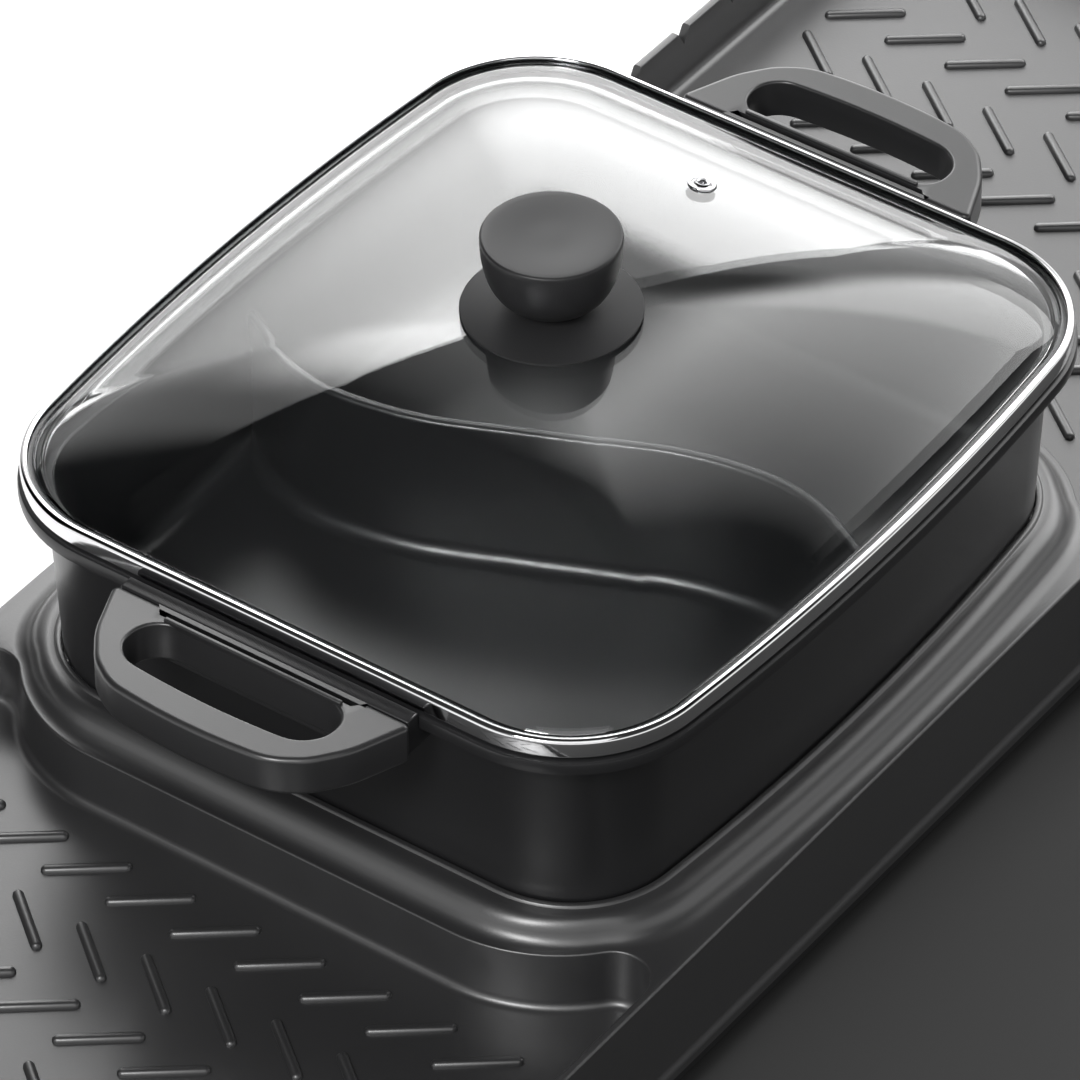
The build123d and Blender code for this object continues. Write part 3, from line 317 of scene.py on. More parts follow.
# dust, mirroring and clear coat where they aren't the plain ones
coatExtras = {
    "nonstickCoat": {"dust": 0.012, "specular": 1.0, "coat": 0.8, "coatRough": 0.3},
    "potCoat": {"specular": 0.6}, "handleResin": {"dust": 0.008, "specular": 0.9},
    "knobResin": {"specular": 0.42}, "knobMatt": {"specular": 0.3}, "panelGloss": {"coat": 0.6},
}
# tone, tone spread, roughness, roughness spread, stretch of the lines, depth in millimetres
metals = {
    "polishedSteel": ((0.86, 0.86, 0.87), 0.03, 0.09, 0.04, (12.0, 12.0, 800.0), 0.0005),
    "eyeletSteel": ((0.5, 0.5, 0.51), 0.05, 0.16, 0.05, (900.0, 900.0, 20.0), 0.001),
    "screwSteel": ((0.6, 0.6, 0.6), 0.1, 0.3, 0.15, (700.0, 40.0, 40.0), 0.003),
    "sheetSteel": ((0.55, 0.55, 0.56), 0.12, 0.34, 0.15, (15.0, 900.0, 900.0), 0.004),
    "heatedTube": ((0.3, 0.29, 0.28), 0.35, 0.42, 0.2, (60.0, 60.0, 60.0), 0.006),
    "turnedAluminium": ((0.19, 0.19, 0.195), 0.16, 0.46, 0.12, (10.0, 700.0, 10.0), 0.004),
    "contactBrass": ((0.75, 0.6, 0.3), 0.12, 0.28, 0.1, (600.0, 30.0, 30.0), 0.003),
}
looks = {name: coatedMaterial(name, *values, **coatExtras.get(name, {}))
         for name, values in coats.items()}
looks.update({name: metalMaterial(name, *values) for name, values in metals.items()})
looks["temperedGlass"] = glassMaterial()
looks["amberLens"] = lensMaterial()
print("materials made")


# outlines: closed loops of (x, y) with the same number of points at every inset

def bowedOutline(inset, share=1.0, cornerSteps=16):
    # the lid's plan: straight ends, round corners, bowed front and back
    sideSteps, bowSteps = 8, 14
    halfX = (common["lidHalfLength"] - inset) * share
    halfY = (common["lidHalfDepth"] - inset) * share
    bow = (bowRadius - inset) * share
    corner = (common["lidCorner"] - inset) * share
    bowY = halfY - bow
    cornerX = halfX - corner
    cornerY = bowY + sqrt((bow - corner)**2 - cornerX**2)
    turn = atan2(cornerY - bowY, cornerX)
    quarter = [(halfX, cornerY * k / sideSteps) for k in range(sideSteps)]
    for k in range(cornerSteps + 1):
        angle = turn * k / cornerSteps
        quarter.append((cornerX + corner * cos(angle), cornerY + corner * sin(angle)))
    for k in range(1, bowSteps + 1):
        angle = turn + (pi / 2 - turn) * k / bowSteps
        quarter.append((bow * cos(angle), bowY + bow * sin(angle)))
    loop = quarter + [(-x, y) for x, y in reversed(quarter[1:-1])]
    loop.append((-quarter[0][0], 0.0))
    return loop + [(x, -y) for x, y in reversed(loop[1:-1])]


def roundedBox(halfX, halfY, corner, steps=14):
    loop = []
    for signX, signY, start in ((1, 1, 0), (-1, 1, 90), (-1, -1, 180), (1, -1, 270)):
        for k in range(steps + 1):
            angle = radians(start + 90 * k / steps)
            loop.append((signX * (halfX - corner) + corner * cos(angle),
                         signY * (halfY - corner) + corner * sin(angle)))
    return loop


def filletedPath(points, rounds, steps=10, closed=True):
    # corner arcs as (x, y, normalX, normalY); the normal points to the right of the way
    path = []
    count = len(points)
    for i in range(count):
        here = Vector(points[i])
        if not closed and i in (0, count - 1):
            other = Vector(points[1] if i == 0 else points[-2])
            way = ((other - here) if i == 0 else (here - other)).normalized()
            path.append((here.x, here.y, way.y, -way.x))
            continue
        before = (here - Vector(points[i - 1])).normalized()
        after = (Vector(points[(i + 1) % count]) - here).normalized()
        turn = atan2(before.x * after.y - before.y * after.x, before.dot(after))
        way = 1 if turn > 0 else -1
        inward = Vector((-before.y, before.x)) * way
        centre = here - before * rounds[i] * tan(abs(turn) / 2) + inward * rounds[i]
        for k in range(steps + 1):
            angle = turn * k / steps
            arm = Vector((inward.y * sin(angle) - inward.x * cos(angle),
                          -inward.x * sin(angle) - inward.y * cos(angle)))
            spot = centre + arm * rounds[i]
            path.append((spot.x, spot.y, arm.x * way, arm.y * way))
    return path


def offsetPath(path, grow):
    return [(x + nx * grow, y + ny * grow) for x, y, nx, ny in path]


def cornerArc(x, z, runX, runZ, steps, turned=False, first=0):
    # profile points that round the corner (x, z), from beside it to above it or, turned, back
    arc = []
    for k in range(first, steps + 1):
        angle = radians(90 * k / steps)
        shares = (1 - sin(angle), 1 - cos(angle))
        shareX, shareZ = reversed(shares) if turned else shares
        arc.append((x + runX * shareX, z + runZ * shareZ))
    return arc


def lifted(profile, level):
    return [(out, level + up) for out, up in profile]


# shapes: rings of points bridged by quads, flat parts filled between loops

def newShape():
    return {"points": [], "faces": [], "fills": []}


def addPoints(shape, points):
    start = len(shape["points"])
    shape["points"] += points
    return list(range(start, len(shape["points"])))


def addRing(shape, loop, level):
    return addPoints(shape, [(x, y, level) for x, y in loop])


def bridge(shape, low, high):
    count = len(low)
    for k in range(count):
        after = (k + 1) % count
        shape["faces"].append((low[k], low[after], high[after], high[k]))


def bridgeAll(shape, rings):
    for low, high in zip(rings, rings[1:]):
        bridge(shape, low, high)


def addWall(shape, outline, sections):
    # outline gives the loop at a section's first value; returns the first and the last ring
    rings = [addRing(shape, outline(grow), level) for grow, level in sections]
    bridgeAll(shape, rings)
    return rings[0], rings[-1]


def cap(shape, ring):
    shape["faces"].append(tuple(ring))


def fillBetween(shape, *rings):
    shape["fills"].append(rings)


def addExtrusion(shape, profile, low, high, side=1):
    # profile of (x, z) swept along Y; side -1 mirrors it to the left
    ends = [addPoints(shape, [(side * x, y, z) for x, z in profile]) for y in (low, high)]
    bridge(shape, *ends)
    cap(shape, ends[0])
    cap(shape, ends[1])


def boxProfile(x0, z0, x1, z1):
    return [(x0, z0), (x1, z0), (x1, z1), (x0, z1)]


def shapeMesh(name, shape):
    mesh = bpy.data.meshes.new(name)
    work = bmesh.new()
    verts = [work.verts.new((x * mm, y * mm, z * mm)) for x, y, z in shape["points"]]
    for face in shape["faces"]:
        work.faces.new([verts[k] for k in face])
    for rings in shape["fills"]:
        edges = []
        for ring in rings:
            for k in range(len(ring)):
                pair = (verts[ring[k]], verts[ring[(k + 1) % len(ring)]])
                edges.append(work.edges.get(pair) or work.edges.new(pair))
        bmesh.ops.triangle_fill(work, use_beauty=True, edges=edges, normal=(0, 0, 1))
    bmesh.ops.remove_doubles(work, verts=work.verts, dist=0.00002)
    bmesh.ops.recalc_face_normals(work, faces=work.faces)
    work.to_mesh(mesh)
    work.free()
    return mesh


def newPiece(name, mesh, finish, body, replaced=(), angle=32):
    mesh.polygons.foreach_set("use_smooth", [True] * len(mesh.polygons))
    mesh.set_sharp_from_angle(angle=radians(angle))
    mesh.materials.clear()
    mesh.materials.append(looks[finish])
    piece = newObject(name, mesh)
    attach(piece, body)
    if replaced:
        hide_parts(*replaced)
    return piece


def takeResult(thing):
    # the evaluated object as a plain mesh; the modifiers and the object go
    bpy.context.view_layer.update()
    evaluated = thing.evaluated_get(bpy.context.evaluated_depsgraph_get())
    mesh = bpy.data.meshes.new_from_object(evaluated)
    thing.modifiers.clear()
    bpy.data.objects.remove(thing)
    return mesh


def bevelled(mesh, width, segments=3, angle=35):
    thing = newObject("blank", mesh)
    modifier = thing.modifiers.new("round", "BEVEL")
    modifier.width = width * mm
    modifier.segments = segments
    modifier.limit_method = "ANGLE"
    modifier.angle_limit = radians(angle)
    modifier.harden_normals = False
    return takeResult(thing)


def joinMeshes(name, meshes):
    work = bmesh.new()
    for mesh in meshes:
        work.from_mesh(mesh)
    result = bpy.data.meshes.new(name)
    work.to_mesh(result)
    work.free()
    return result


# geometry node trees

def newShapeTree(name, inputs):
    return newTree(name, "GeometryNodeTree", [("Geometry", shapeKind), *inputs],
                   [("Geometry", shapeKind)])


def runTree(host, tree, values):
    modifier = host.modifiers.new(tree.name, "NODES")
    modifier.node_group = tree
    for item in tree.interface.items_tree:
        if item.item_type == "SOCKET" and item.in_out == "INPUT" and item.name in values:
            modifier[item.identifier] = values[item.name]
    return takeResult(host)


def emptyHost(name):
    return newObject(name, bpy.data.meshes.new(name))


def geometryOf(tree, thing):
    return addNode(tree, "GeometryNodeObjectInfo", values={"Object": thing}).outputs["Geometry"]


def moveBy(tree, geometry, way):
    return addNode(tree, "GeometryNodeTransform", values={
        "Geometry": geometry, "Translation": way}).outputs[0]


def realize(tree, geometry):
    return addNode(tree, "GeometryNodeRealizeInstances", values={"Geometry": geometry}).outputs[0]


def putOn(tree, points, item, **turn):
    # one item on each point; turn names the axis and the angle
    values = {"Points": points, "Instance": item}
    if turn:
        values["Rotation"] = addNode(tree, "ShaderNodeCombineXYZ", values=turn).outputs[0]
    return addNode(tree, "GeometryNodeInstanceOnPoints", values=values).outputs[0]


def finishTree(tree, leave, geometry, finish):
    coloured = addNode(tree, "GeometryNodeSetMaterial", values={
        "Geometry": realize(tree, geometry), "Material": finish})
    tree.links.new(coloured.outputs[0], leave["Geometry"])
    return tree


def makeRowsTree():
    # rows of pairs: a grid of places, one turned item on each
    tree, enter, leave = newShapeTree("slantedRows", [
        ("Item", objectKind), ("Finish", finishKind), ("Pairs", wholeKind), ("Rows", wholeKind),
        ("Pair Pitch", floatKind), ("Row Pitch", floatKind), ("Lean", floatKind),
        ("Middle", vectorKind)])
    spanX, spanY = (times(tree, combine(tree, "SUBTRACT", enter[count], 1.0), enter[pitch])
                    for count, pitch in (("Pairs", "Pair Pitch"), ("Rows", "Row Pitch")))
    grid = addNode(tree, "GeometryNodeMeshGrid", values={
        "Size X": spanX, "Size Y": spanY, "Vertices X": enter["Pairs"],
        "Vertices Y": enter["Rows"]}).outputs["Mesh"]
    placed = putOn(tree, moveBy(tree, grid, enter["Middle"]), geometryOf(tree, enter["Item"]),
                   Z=enter["Lean"])
    return finishTree(tree, leave, placed, enter["Finish"])


def makeNotchTree():
    # cuts a line of notches from each start point through the casting
    tree, enter, leave = newShapeTree("notchLine", [
        ("Starts", objectKind), ("Cutter", objectKind), ("Finish", finishKind),
        ("Count", wholeKind), ("Pitch", floatKind)])
    step = addNode(tree, "ShaderNodeCombineXYZ", values={"X": enter["Pitch"]}).outputs[0]
    line = addNode(tree, "GeometryNodeMeshLine", values={
        "Count": enter["Count"], "Offset": step}).outputs[0]
    spots = realize(tree, putOn(tree, geometryOf(tree, enter["Starts"]), line))
    cutters = realize(tree, putOn(tree, spots, geometryOf(tree, enter["Cutter"])))
    cut = addNode(tree, "GeometryNodeMeshBoolean", {"operation": "DIFFERENCE", "solver": "EXACT"}, {
        "Mesh 1": enter["Geometry"], "Mesh 2": cutters})
    return finishTree(tree, leave, cut.outputs["Mesh"], enter["Finish"])


def makeSpokesTree():
    # items round an axis along Y, one step of angle apart
    tree, enter, leave = newShapeTree("spokes", [
        ("Item", objectKind), ("Finish", finishKind), ("Count", wholeKind), ("Step", floatKind),
        ("Centre", vectorKind)])
    spots = addNode(tree, "GeometryNodeMeshLine", values={
        "Count": enter["Count"], "Offset": (0, 0, 0)}).outputs[0]
    index = addNode(tree, "GeometryNodeInputIndex").outputs[0]
    placed = putOn(tree, spots, geometryOf(tree, enter["Item"]),
                   Y=times(tree, index, enter["Step"]))
    return finishTree(tree, leave, moveBy(tree, placed, enter["Centre"]), enter["Finish"])


rowsTree, notchTree, spokesTree = makeRowsTree(), makeNotchTree(), makeSpokesTree()
print("node trees made")


# cast top: skirt with bead, land, collar and two sunken trays with herringbone ribs

castTop = {
    "corner": 28.0, "trayCorner": 24.0, "innerCorner": 12.5, "landHalf": 157.6,
    "landStraight": 73.2, "landRound": 59.0, "landTurn": 48.0, "traySteps": 14,
    "trayGrow": 0.35, "trayDraft": 0.35, "edgeRound": 0.75, "floorFillet": 3.3, "floorLap": 0.5,
    "collarInset": 10.6, "collarWidth": 17.8, "collarTop": 67.0, "crownTop": 66.0,
    "crownEnd": 4.6, "flankSteps": 7, "trayGap": 0.25, "smoothings": 6,
    "hollowGrow": 1.0, "hollowRise": 41.5, "wallLap": 1.2,
    # (outwards, up) from the skirt's foot, from its rim, from the collar's top and the crown
    "bead": [(0.6, 0), (1.2, 0.6), (1.2, 3.0), (1.08, 3.6), (0.75, 4.4), (0.3, 5.4), (0.08, 6.1),
             (0.0, 6.6), (0.0, 7.4)],
    "brim": [(0.0, -1.3), (0.0, -0.9), (-0.08, -0.55), (-0.25, -0.25), (-0.55, -0.06), (-0.8, 0)],
    "lip": [(0, -0.5), (0.15, -0.15), (0.5, 0), (1.55, 0), (1.9, -0.12), (2.2, -0.45)],
    "lipFoot": [(2.5, 0.12), (2.9, 0)],
}
ribs = {
    "length": 30.0, "crossLength": 28.8, "width": 4.0, "height": 1.8, "lean": 51.9,
    "rowPitch": 26.17, "pairPitch": 60.7, "rows": 9, "pairs": 4, "backMargin": 20.1,
    "leftStart": 34.5, "leftCross": 46.8, "rightStart": 57.3, "rightCross": 45.2, "endSteps": 5,
    # (inset, height over the tray's floor)
    "profile": [(0.0, -0.8), (0.0, 0.0), (0.18, 0.8), (0.62, 1.42), (1.25, 1.76)],
}
notches = {"width": 7.2, "depth": 6.3, "start": 56.7, "endMargin": 25.0, "pitch": 30.35, "over": 2}


def trayPath(side):
    turn = radians(castTop["landTurn"])
    land, end = castTop["landHalf"], common["halfLength"] - common["skirtWall"]
    wide = common["halfDepth"] - common["skirtWall"]
    bend = castTop["landStraight"] + castTop["landRound"] * tan(turn / 2)
    throat = land - (wide - bend) * tan(turn)
    points = [(land, -bend), (throat, -wide), (end, -wide), (end, wide), (throat, wide), (land, bend)]
    rounds = [castTop[key] for key in ("landRound", "innerCorner", "trayCorner")]
    path = filletedPath(points, rounds + rounds[::-1], castTop["traySteps"])
    if side < 0:
        path = [(-x, y, -nx, ny) for x, y, nx, ny in reversed(path)]
    return path


def rayReach(start, way, loop):
    # how far a ray runs before it meets a closed loop
    nearest, parallel = inf, 1e-9
    for (x0, y0), (x1, y1) in zip(loop, loop[1:] + loop[:1]):
        edgeX, edgeY = x1 - x0, y1 - y0
        cross = way[0] * edgeY - way[1] * edgeX
        if abs(cross) < parallel:
            continue
        run = ((x0 - start[0]) * edgeY - (y0 - start[1]) * edgeX) / cross
        along = ((x0 - start[0]) * way[1] - (y0 - start[1]) * way[0]) / cross
        if run > 0 and 0 <= along <= 1:
            nearest = min(nearest, run)
    return nearest


def collarRays(trayLoops):
    # inner edge, outward ways and the widths that stay clear of the trays
    inner = bowedOutline(castTop["collarInset"])
    outer = bowedOutline(castTop["collarInset"] - castTop["collarWidth"])
    ways, widths = [], []
    for (x0, y0), (x1, y1) in zip(inner, outer):
        size = hypot(x1 - x0, y1 - y0)
        way = ((x1 - x0) / size, (y1 - y0) / size)
        reach = min(rayReach((x0, y0), way, loop) for loop in trayLoops) - castTop["trayGap"]
        widths.append(min(size, reach))
        ways.append(way)
    count = len(widths)
    for _ in range(castTop["smoothings"]):
        smooth = [(widths[k - 1] + 2 * widths[k] + widths[(k + 1) % count]) / 4 for k in range(count)]
        widths = [min(a, b) for a, b in zip(widths, smooth)]
    return inner, ways, widths


def collarProfile():
    # lip, crown and S-shaped flank
    low, high, crown = common["skirtLevel"], castTop["collarTop"], castTop["crownTop"]
    start, end, steps = castTop["crownEnd"], castTop["collarWidth"], castTop["flankSteps"]
    profile = [(0, low + castTop["hollowRise"]), *lifted(castTop["lip"], high),
               *lifted(castTop["lipFoot"], crown), (start, crown)]
    halfRun, halfDrop = (end - start) / 2, (crown - common["rimLevel"]) / 2
    bend = (halfRun**2 + halfDrop**2) / (2 * halfDrop)
    reach = 2 * atan2(halfDrop, halfRun)
    for k in range(1, steps + 1):
        angle = reach * k / steps
        profile.append((start + bend * sin(angle), crown - bend * (1 - cos(angle))))
    for k in range(1, steps + 1):
        angle = reach * (steps - k) / steps
        profile.append((end - bend * sin(angle), common["rimLevel"] + bend * (1 - cos(angle))))
    return profile


def addTray(shape, path):
    # rounded rim, slightly drafted wall, floor fillet
    top, floor, edge = common["rimLevel"], common["floorLevel"], castTop["edgeRound"]
    fillet, grow = castTop["floorFillet"], castTop["trayGrow"]
    foot = grow - edge - castTop["trayDraft"]
    sections = cornerArc(grow - edge, top, edge, -edge, 4)
    sections += cornerArc(foot, floor, -fillet, fillet, 6, turned=True)
    sections.append((foot - fillet - castTop["floorLap"], floor))
    first, last = addWall(shape, lambda out: offsetPath(path, out), sections)
    cap(shape, last)
    return first


def makeCastShape():
    shape = newShape()
    halfX, halfY, corner = common["halfLength"], common["halfDepth"], castTop["corner"]
    low, top = common["skirtLevel"], common["rimLevel"]
    skirt = [*lifted(castTop["bead"], low), (0.0, top - notches["depth"] - castTop["wallLap"]),
             *lifted(castTop["brim"], top)]
    bottom, rim = addWall(shape, lambda out: roundedBox(halfX + out, halfY + out, corner + out), skirt)

    paths = [trayPath(side) for side in (-1, 1)]
    trayTops = [addTray(shape, path) for path in paths]
    inner, ways, widths = collarRays([offsetPath(path, castTop["trayGrow"]) for path in paths])
    start, end = castTop["crownEnd"], castTop["collarWidth"]

    def collarLoop(out):
        loop = []
        for (x, y), (wayX, wayY), width in zip(inner, ways, widths):
            run = out if out <= start else start + (out - start) * (width - start) / (end - start)
            loop.append((x + wayX * run, y + wayY * run))
        return loop

    innerLow, collarFoot = addWall(shape, collarLoop, collarProfile())
    fillBetween(shape, rim, collarFoot, *trayTops)

    # underside: pocket behind the skirt and hollow under the land
    wall, under, grow = common["skirtWall"], common["trayUnder"], -castTop["hollowGrow"]
    pocketLow, pocketHigh = addWall(
        shape, lambda inset: roundedBox(halfX - inset, halfY - inset, castTop["trayCorner"]),
        [(wall, low), (wall, under)])
    bridge(shape, bottom, pocketLow)
    hollowLow, hollowHigh = addWall(shape, bowedOutline, [
        (grow, under), (grow, low + castTop["hollowRise"])])
    fillBetween(shape, pocketHigh, hollowLow)
    bridge(shape, hollowHigh, innerLow)
    return shape


def makeRibMesh(length):
    shape = newShape()
    half, steps, floor = ribs["width"] / 2, ribs["endSteps"], common["floorLevel"]

    def ribLoop(inset):
        loop = []
        for side in (1, -1):
            for k in range(steps + 1):
                angle = radians(-90 + 180 * k / steps)
                loop.append((side * (length / 2 - half + (half - inset) * cos(angle)),
                             side * (half - inset) * sin(angle)))
        return loop

    first, last = addWall(shape, ribLoop, lifted(ribs["profile"], floor))
    cap(shape, first)
    tip = floor + ribs["height"]
    right, left = addPoints(shape, [(length / 2 - half, 0, tip), (half - length / 2, 0, tip)])
    turn = steps + 1
    for k in range(steps):
        shape["faces"].append((last[k], last[k + 1], right))
        shape["faces"].append((last[turn + k], last[turn + k + 1], left))
    shape["faces"].append((last[steps], last[turn], left, right))
    shape["faces"].append((last[-1], last[0], right, left))
    return shapeMesh("rib", shape)


def makeRibs():
    lean = radians(ribs["lean"])
    meshes = []
    back = common["halfDepth"] - common["skirtWall"] - ribs["backMargin"]
    items = [(key, newObject(key, makeRibMesh(ribs[key]))) for key in ("length", "crossLength")]
    for side, starts in ((-1, ("leftStart", "leftCross")), (1, ("rightStart", "rightCross"))):
        for (key, item), startKey, way in zip(items, starts, (1, -1)):
            size = ribs[key]
            centreY = back - size / 2 * sin(lean) - (ribs["rows"] - 1) * ribs["rowPitch"] / 2
            nearX = side * (castTop["landHalf"] + ribs[startKey]) + way * size / 2 * cos(lean)
            centreX = nearX + side * (ribs["pairs"] - 1) * ribs["pairPitch"] / 2
            meshes.append(runTree(emptyHost("ribHost"), rowsTree, {
                "Item": item, "Finish": looks["nonstickCoat"], "Pairs": ribs["pairs"],
                "Rows": ribs["rows"], "Pair Pitch": ribs["pairPitch"] * mm,
                "Row Pitch": ribs["rowPitch"] * mm, "Lean": -lean * way,
                "Middle": (centreX * mm, centreY * mm, 0.0)}))
    for _, item in items:
        bpy.data.objects.remove(item)
    return meshes


def cutNotches(mesh):
    half, wall, top = notches["width"] / 2, common["skirtWall"], common["rimLevel"]
    over = notches["over"]
    profile = [(0, top - notches["depth"]), (half, top), (half, top + over), (-half, top + over),
               (-half, top)]
    shape = newShape()
    addExtrusion(shape, profile, -wall / 2 - over, wall / 2 + over)
    cutter = newObject("notchCutter", shapeMesh("notchCutter", shape))
    near = castTop["landHalf"] + notches["start"]
    reach = common["halfLength"] - wall - near - notches["endMargin"]
    count = int(reach // notches["pitch"]) + 1
    far = near + (count - 1) * notches["pitch"]
    wallY = common["halfDepth"] - wall / 2
    spots = bpy.data.meshes.new("notchStarts")
    spots.from_pydata([(x * mm, y * mm, 0) for x in (near, -far) for y in (-wallY, wallY)], [], [])
    starts = newObject("notchStarts", spots)
    result = runTree(newObject("castBlank", mesh), notchTree, {
        "Starts": starts, "Cutter": cutter, "Finish": looks["nonstickCoat"], "Count": count,
        "Pitch": notches["pitch"] * mm})
    bpy.data.objects.remove(cutter)
    bpy.data.objects.remove(starts)
    return result


castMesh = cutNotches(shapeMesh("castTop", makeCastShape()))
castPiece = newPiece("castTop", joinMeshes("castTop", [castMesh] + makeRibs()), "nonstickCoat", "base",
                     ["cast_top"])
print("cast top made,", len(castPiece.data.polygons), "faces")


# pot: drafted walls, flange with a rebate, S-shaped divider, lugs for the handles

pot = {
    "wall": 4.0, "floor": 5.0, "footInset": 11.3, "topInset": 8.0, "footRound": 8.0,
    "footLap": 0.6, "floorRound": 7.0, "floorLap": 0.8, "flange": 5.0, "flangeProud": 1.0,
    "rebateInset": 5.0, "rebateDepth": 1.5, "dividerDrop": 15.7, "dividerWall": 4.4,
    "dividerDraft": 1.4, "dividerFlare": 6.0, "dividerSunk": 1.5, "dividerRound": 1.7,
    "swing": 25.0, "reach": 125.0, "overshoot": 4.0, "wideRound": 120.0, "tightRound": 60.0,
    "firstBend": (0.78, 0.344), "secondBend": (1.0, 0.656), "endSwing": 0.2, "dividerSteps": 14,
    "lugHalf": 57.0, "lugReach": 7.0, "lugDepth": 12.0, "lugStep": 3.8, "lugRound": 0.7,
    "stripGap": 1.3, "stripRise": 2.0,
    # (inset, up) from the flange's underside, from its top and from the rebate's floor
    "flangeFoot": [(0.5, 0), (0.1, 0.25), (0.0, 0.8)],
    "flangeTop": [(0.0, -1.3), (0.3, -0.45), (1.1, 0)],
    "rebate": [(-0.3, 1.5), (0.0, 1.2), (0.0, 0.1), (0.1, 0.0)],
}


def potInset(level):
    low, high = common["potSeat"], common["potTop"] - pot["flange"]
    return pot["footInset"] + (pot["topInset"] - pot["footInset"]) * (level - low) / (high - low)


def makePotShape():
    shape = newShape()
    seat, top, wall = common["potSeat"], common["potTop"], pot["wall"]
    under, proud, rebate = top - pot["flange"], pot["flangeProud"], top - pot["rebateDepth"]
    foot, footInset = pot["footRound"], potInset(seat + pot["footRound"])
    sections = [(footInset + foot + pot["footLap"], seat), *cornerArc(footInset, seat, foot, foot, 7)]
    sections += [(potInset(under - 1), under - 1), (potInset(under) - 0.3, under - 0.3),
                 (potInset(under) - 1.0, under)]
    for key, inset, level in (("flangeFoot", -proud, under), ("flangeTop", -proud, top),
                              ("rebate", pot["rebateInset"], rebate)):
        sections += [(inset + out, level + up) for out, up in pot[key]]
    sections += [(potInset(top) + wall - 0.7, rebate), (potInset(top) + wall - 0.1, rebate - 0.5),
                 (potInset(top - 3) + wall, top - 3)]
    floor, bend = seat + pot["floor"], pot["floorRound"]
    inside = potInset(floor + bend) + wall
    sections += cornerArc(inside, floor, bend, bend, 8, turned=True)
    sections.append((inside + bend + pot["floorLap"], floor))
    first, last = addWall(shape, bowedOutline, sections)
    cap(shape, first)
    cap(shape, last)
    return shape


def dividerPath():
    swing, reach = pot["swing"], pot["reach"]
    bends = [(-out * swing, along * reach) for out, along in (pot["firstBend"], pot["secondBend"])]
    (bendX, bendY), (endX, endY) = bends[-1], (-pot["endSwing"] * swing, reach)
    beyond = pot["overshoot"] / reach
    half = bends + [(endX + (endX - bendX) * beyond, endY + (endY - bendY) * beyond)]
    points = [(-x, -y) for x, y in reversed(half)] + half
    rounds = [0, pot["tightRound"], pot["wideRound"], pot["wideRound"], pot["tightRound"], 0]
    return filletedPath(points, rounds, pot["dividerSteps"], closed=False)


def makeDividerShape():
    # a drafted wall whose ends are held inside the pot's wall
    shape = newShape()
    floor, top = common["potSeat"] + pot["floor"], common["potTop"] - pot["dividerDrop"]
    wall, flare, tip = pot["dividerWall"] / 2, pot["dividerFlare"], pot["dividerRound"]
    foot = wall + pot["dividerDraft"]
    sections = [(foot + flare, floor - pot["dividerSunk"]), *cornerArc(foot, floor, flare, flare, 7),
                *cornerArc(wall, top, -tip, -tip, 6, turned=True)]
    path = dividerPath()
    rings = []
    for half, level in sections:
        inset = potInset(max(level, floor)) + pot["wall"] / 2
        loop = []
        for x, y in offsetPath(path, half) + offsetPath(path, -half)[::-1]:
            reach = common["lidHalfDepth"] - bowRadius + sqrt((bowRadius - inset)**2 - x**2)
            loop.append((x, max(-reach, min(reach, y))))
        rings.append(addRing(shape, loop, level))
    bridgeAll(shape, rings)
    cap(shape, rings[0])
    last = rings[-1]
    for k in range(len(path) - 1):
        shape["faces"].append((last[k], last[k + 1], last[-2 - k], last[-1 - k]))
    return shape


def makeLugMesh(side):
    shape = newShape()
    lid, top = common["lidHalfLength"], common["potTop"]
    strip, face = lid + pot["stripGap"], lid + pot["lugReach"]
    inner = lid - pot["topInset"] - pot["wall"] / 2
    low, step, rise = top - pot["lugDepth"], top - pot["lugStep"], top + pot["stripRise"]
    profile = [(inner, low), (face, low), (face, rise), (strip, rise), (strip, step), (inner, step)]
    addExtrusion(shape, profile, -pot["lugHalf"], pot["lugHalf"], side)
    return bevelled(shapeMesh("lug", shape), pot["lugRound"])


potParts = [shapeMesh("potShell", makePotShape()), shapeMesh("divider", makeDividerShape()),
            makeLugMesh(-1), makeLugMesh(1)]
newPiece("pot", joinMeshes("pot", potParts), "potCoat", "pot_body", ["pot"])
print("pot made")


# loop handles: rounded plan, finger slot, narrow groove beside the lug, thin rib

handle = {
    "root": 7.0, "shoulder": 30.0, "reach": 48.7, "rootHalf": 59.5, "shoulderHalf": 51.0,
    "outerHalf": 38.0, "rootRound": 2.4, "shoulderRound": 40.0, "outerRound": 22.0, "planSteps": 12,
    "bow": 3.4, "bowSteps": 16, "bowLeast": 20.0, "depth": 15.0, "edge": 2.2, "topShare": 0.8,
    "lap": 0.3, "slotStart": 13.0, "slotWidth": 23.0, "slotLength": 80.0, "slotRound": 10.0,
    "slotOuter": 1.15, "slotEdge": 1.2, "slotTopEdge": 0.9, "slotLap": 0.3,
    "grooveGap": 0.3, "grooveWidth": 3.9, "grooveHalf": 41.0, "groovePoint": 3.4, "grooveDepth": 10.0,
    "ribWidth": 1.8, "ribRise": 1.2, "ribSunk": 1.0, "ribMargin": 5.0, "detailRound": 0.5,
    "tongueIn": 11.0, "tongueOut": 3.6, "tongueDepth": 4.6, "tongueHalf": 45.0,
    # (outwards, up) from the top
    "grooveEdge": [(0.3, 0), (0.06, -0.1), (0.0, -0.3)],
}


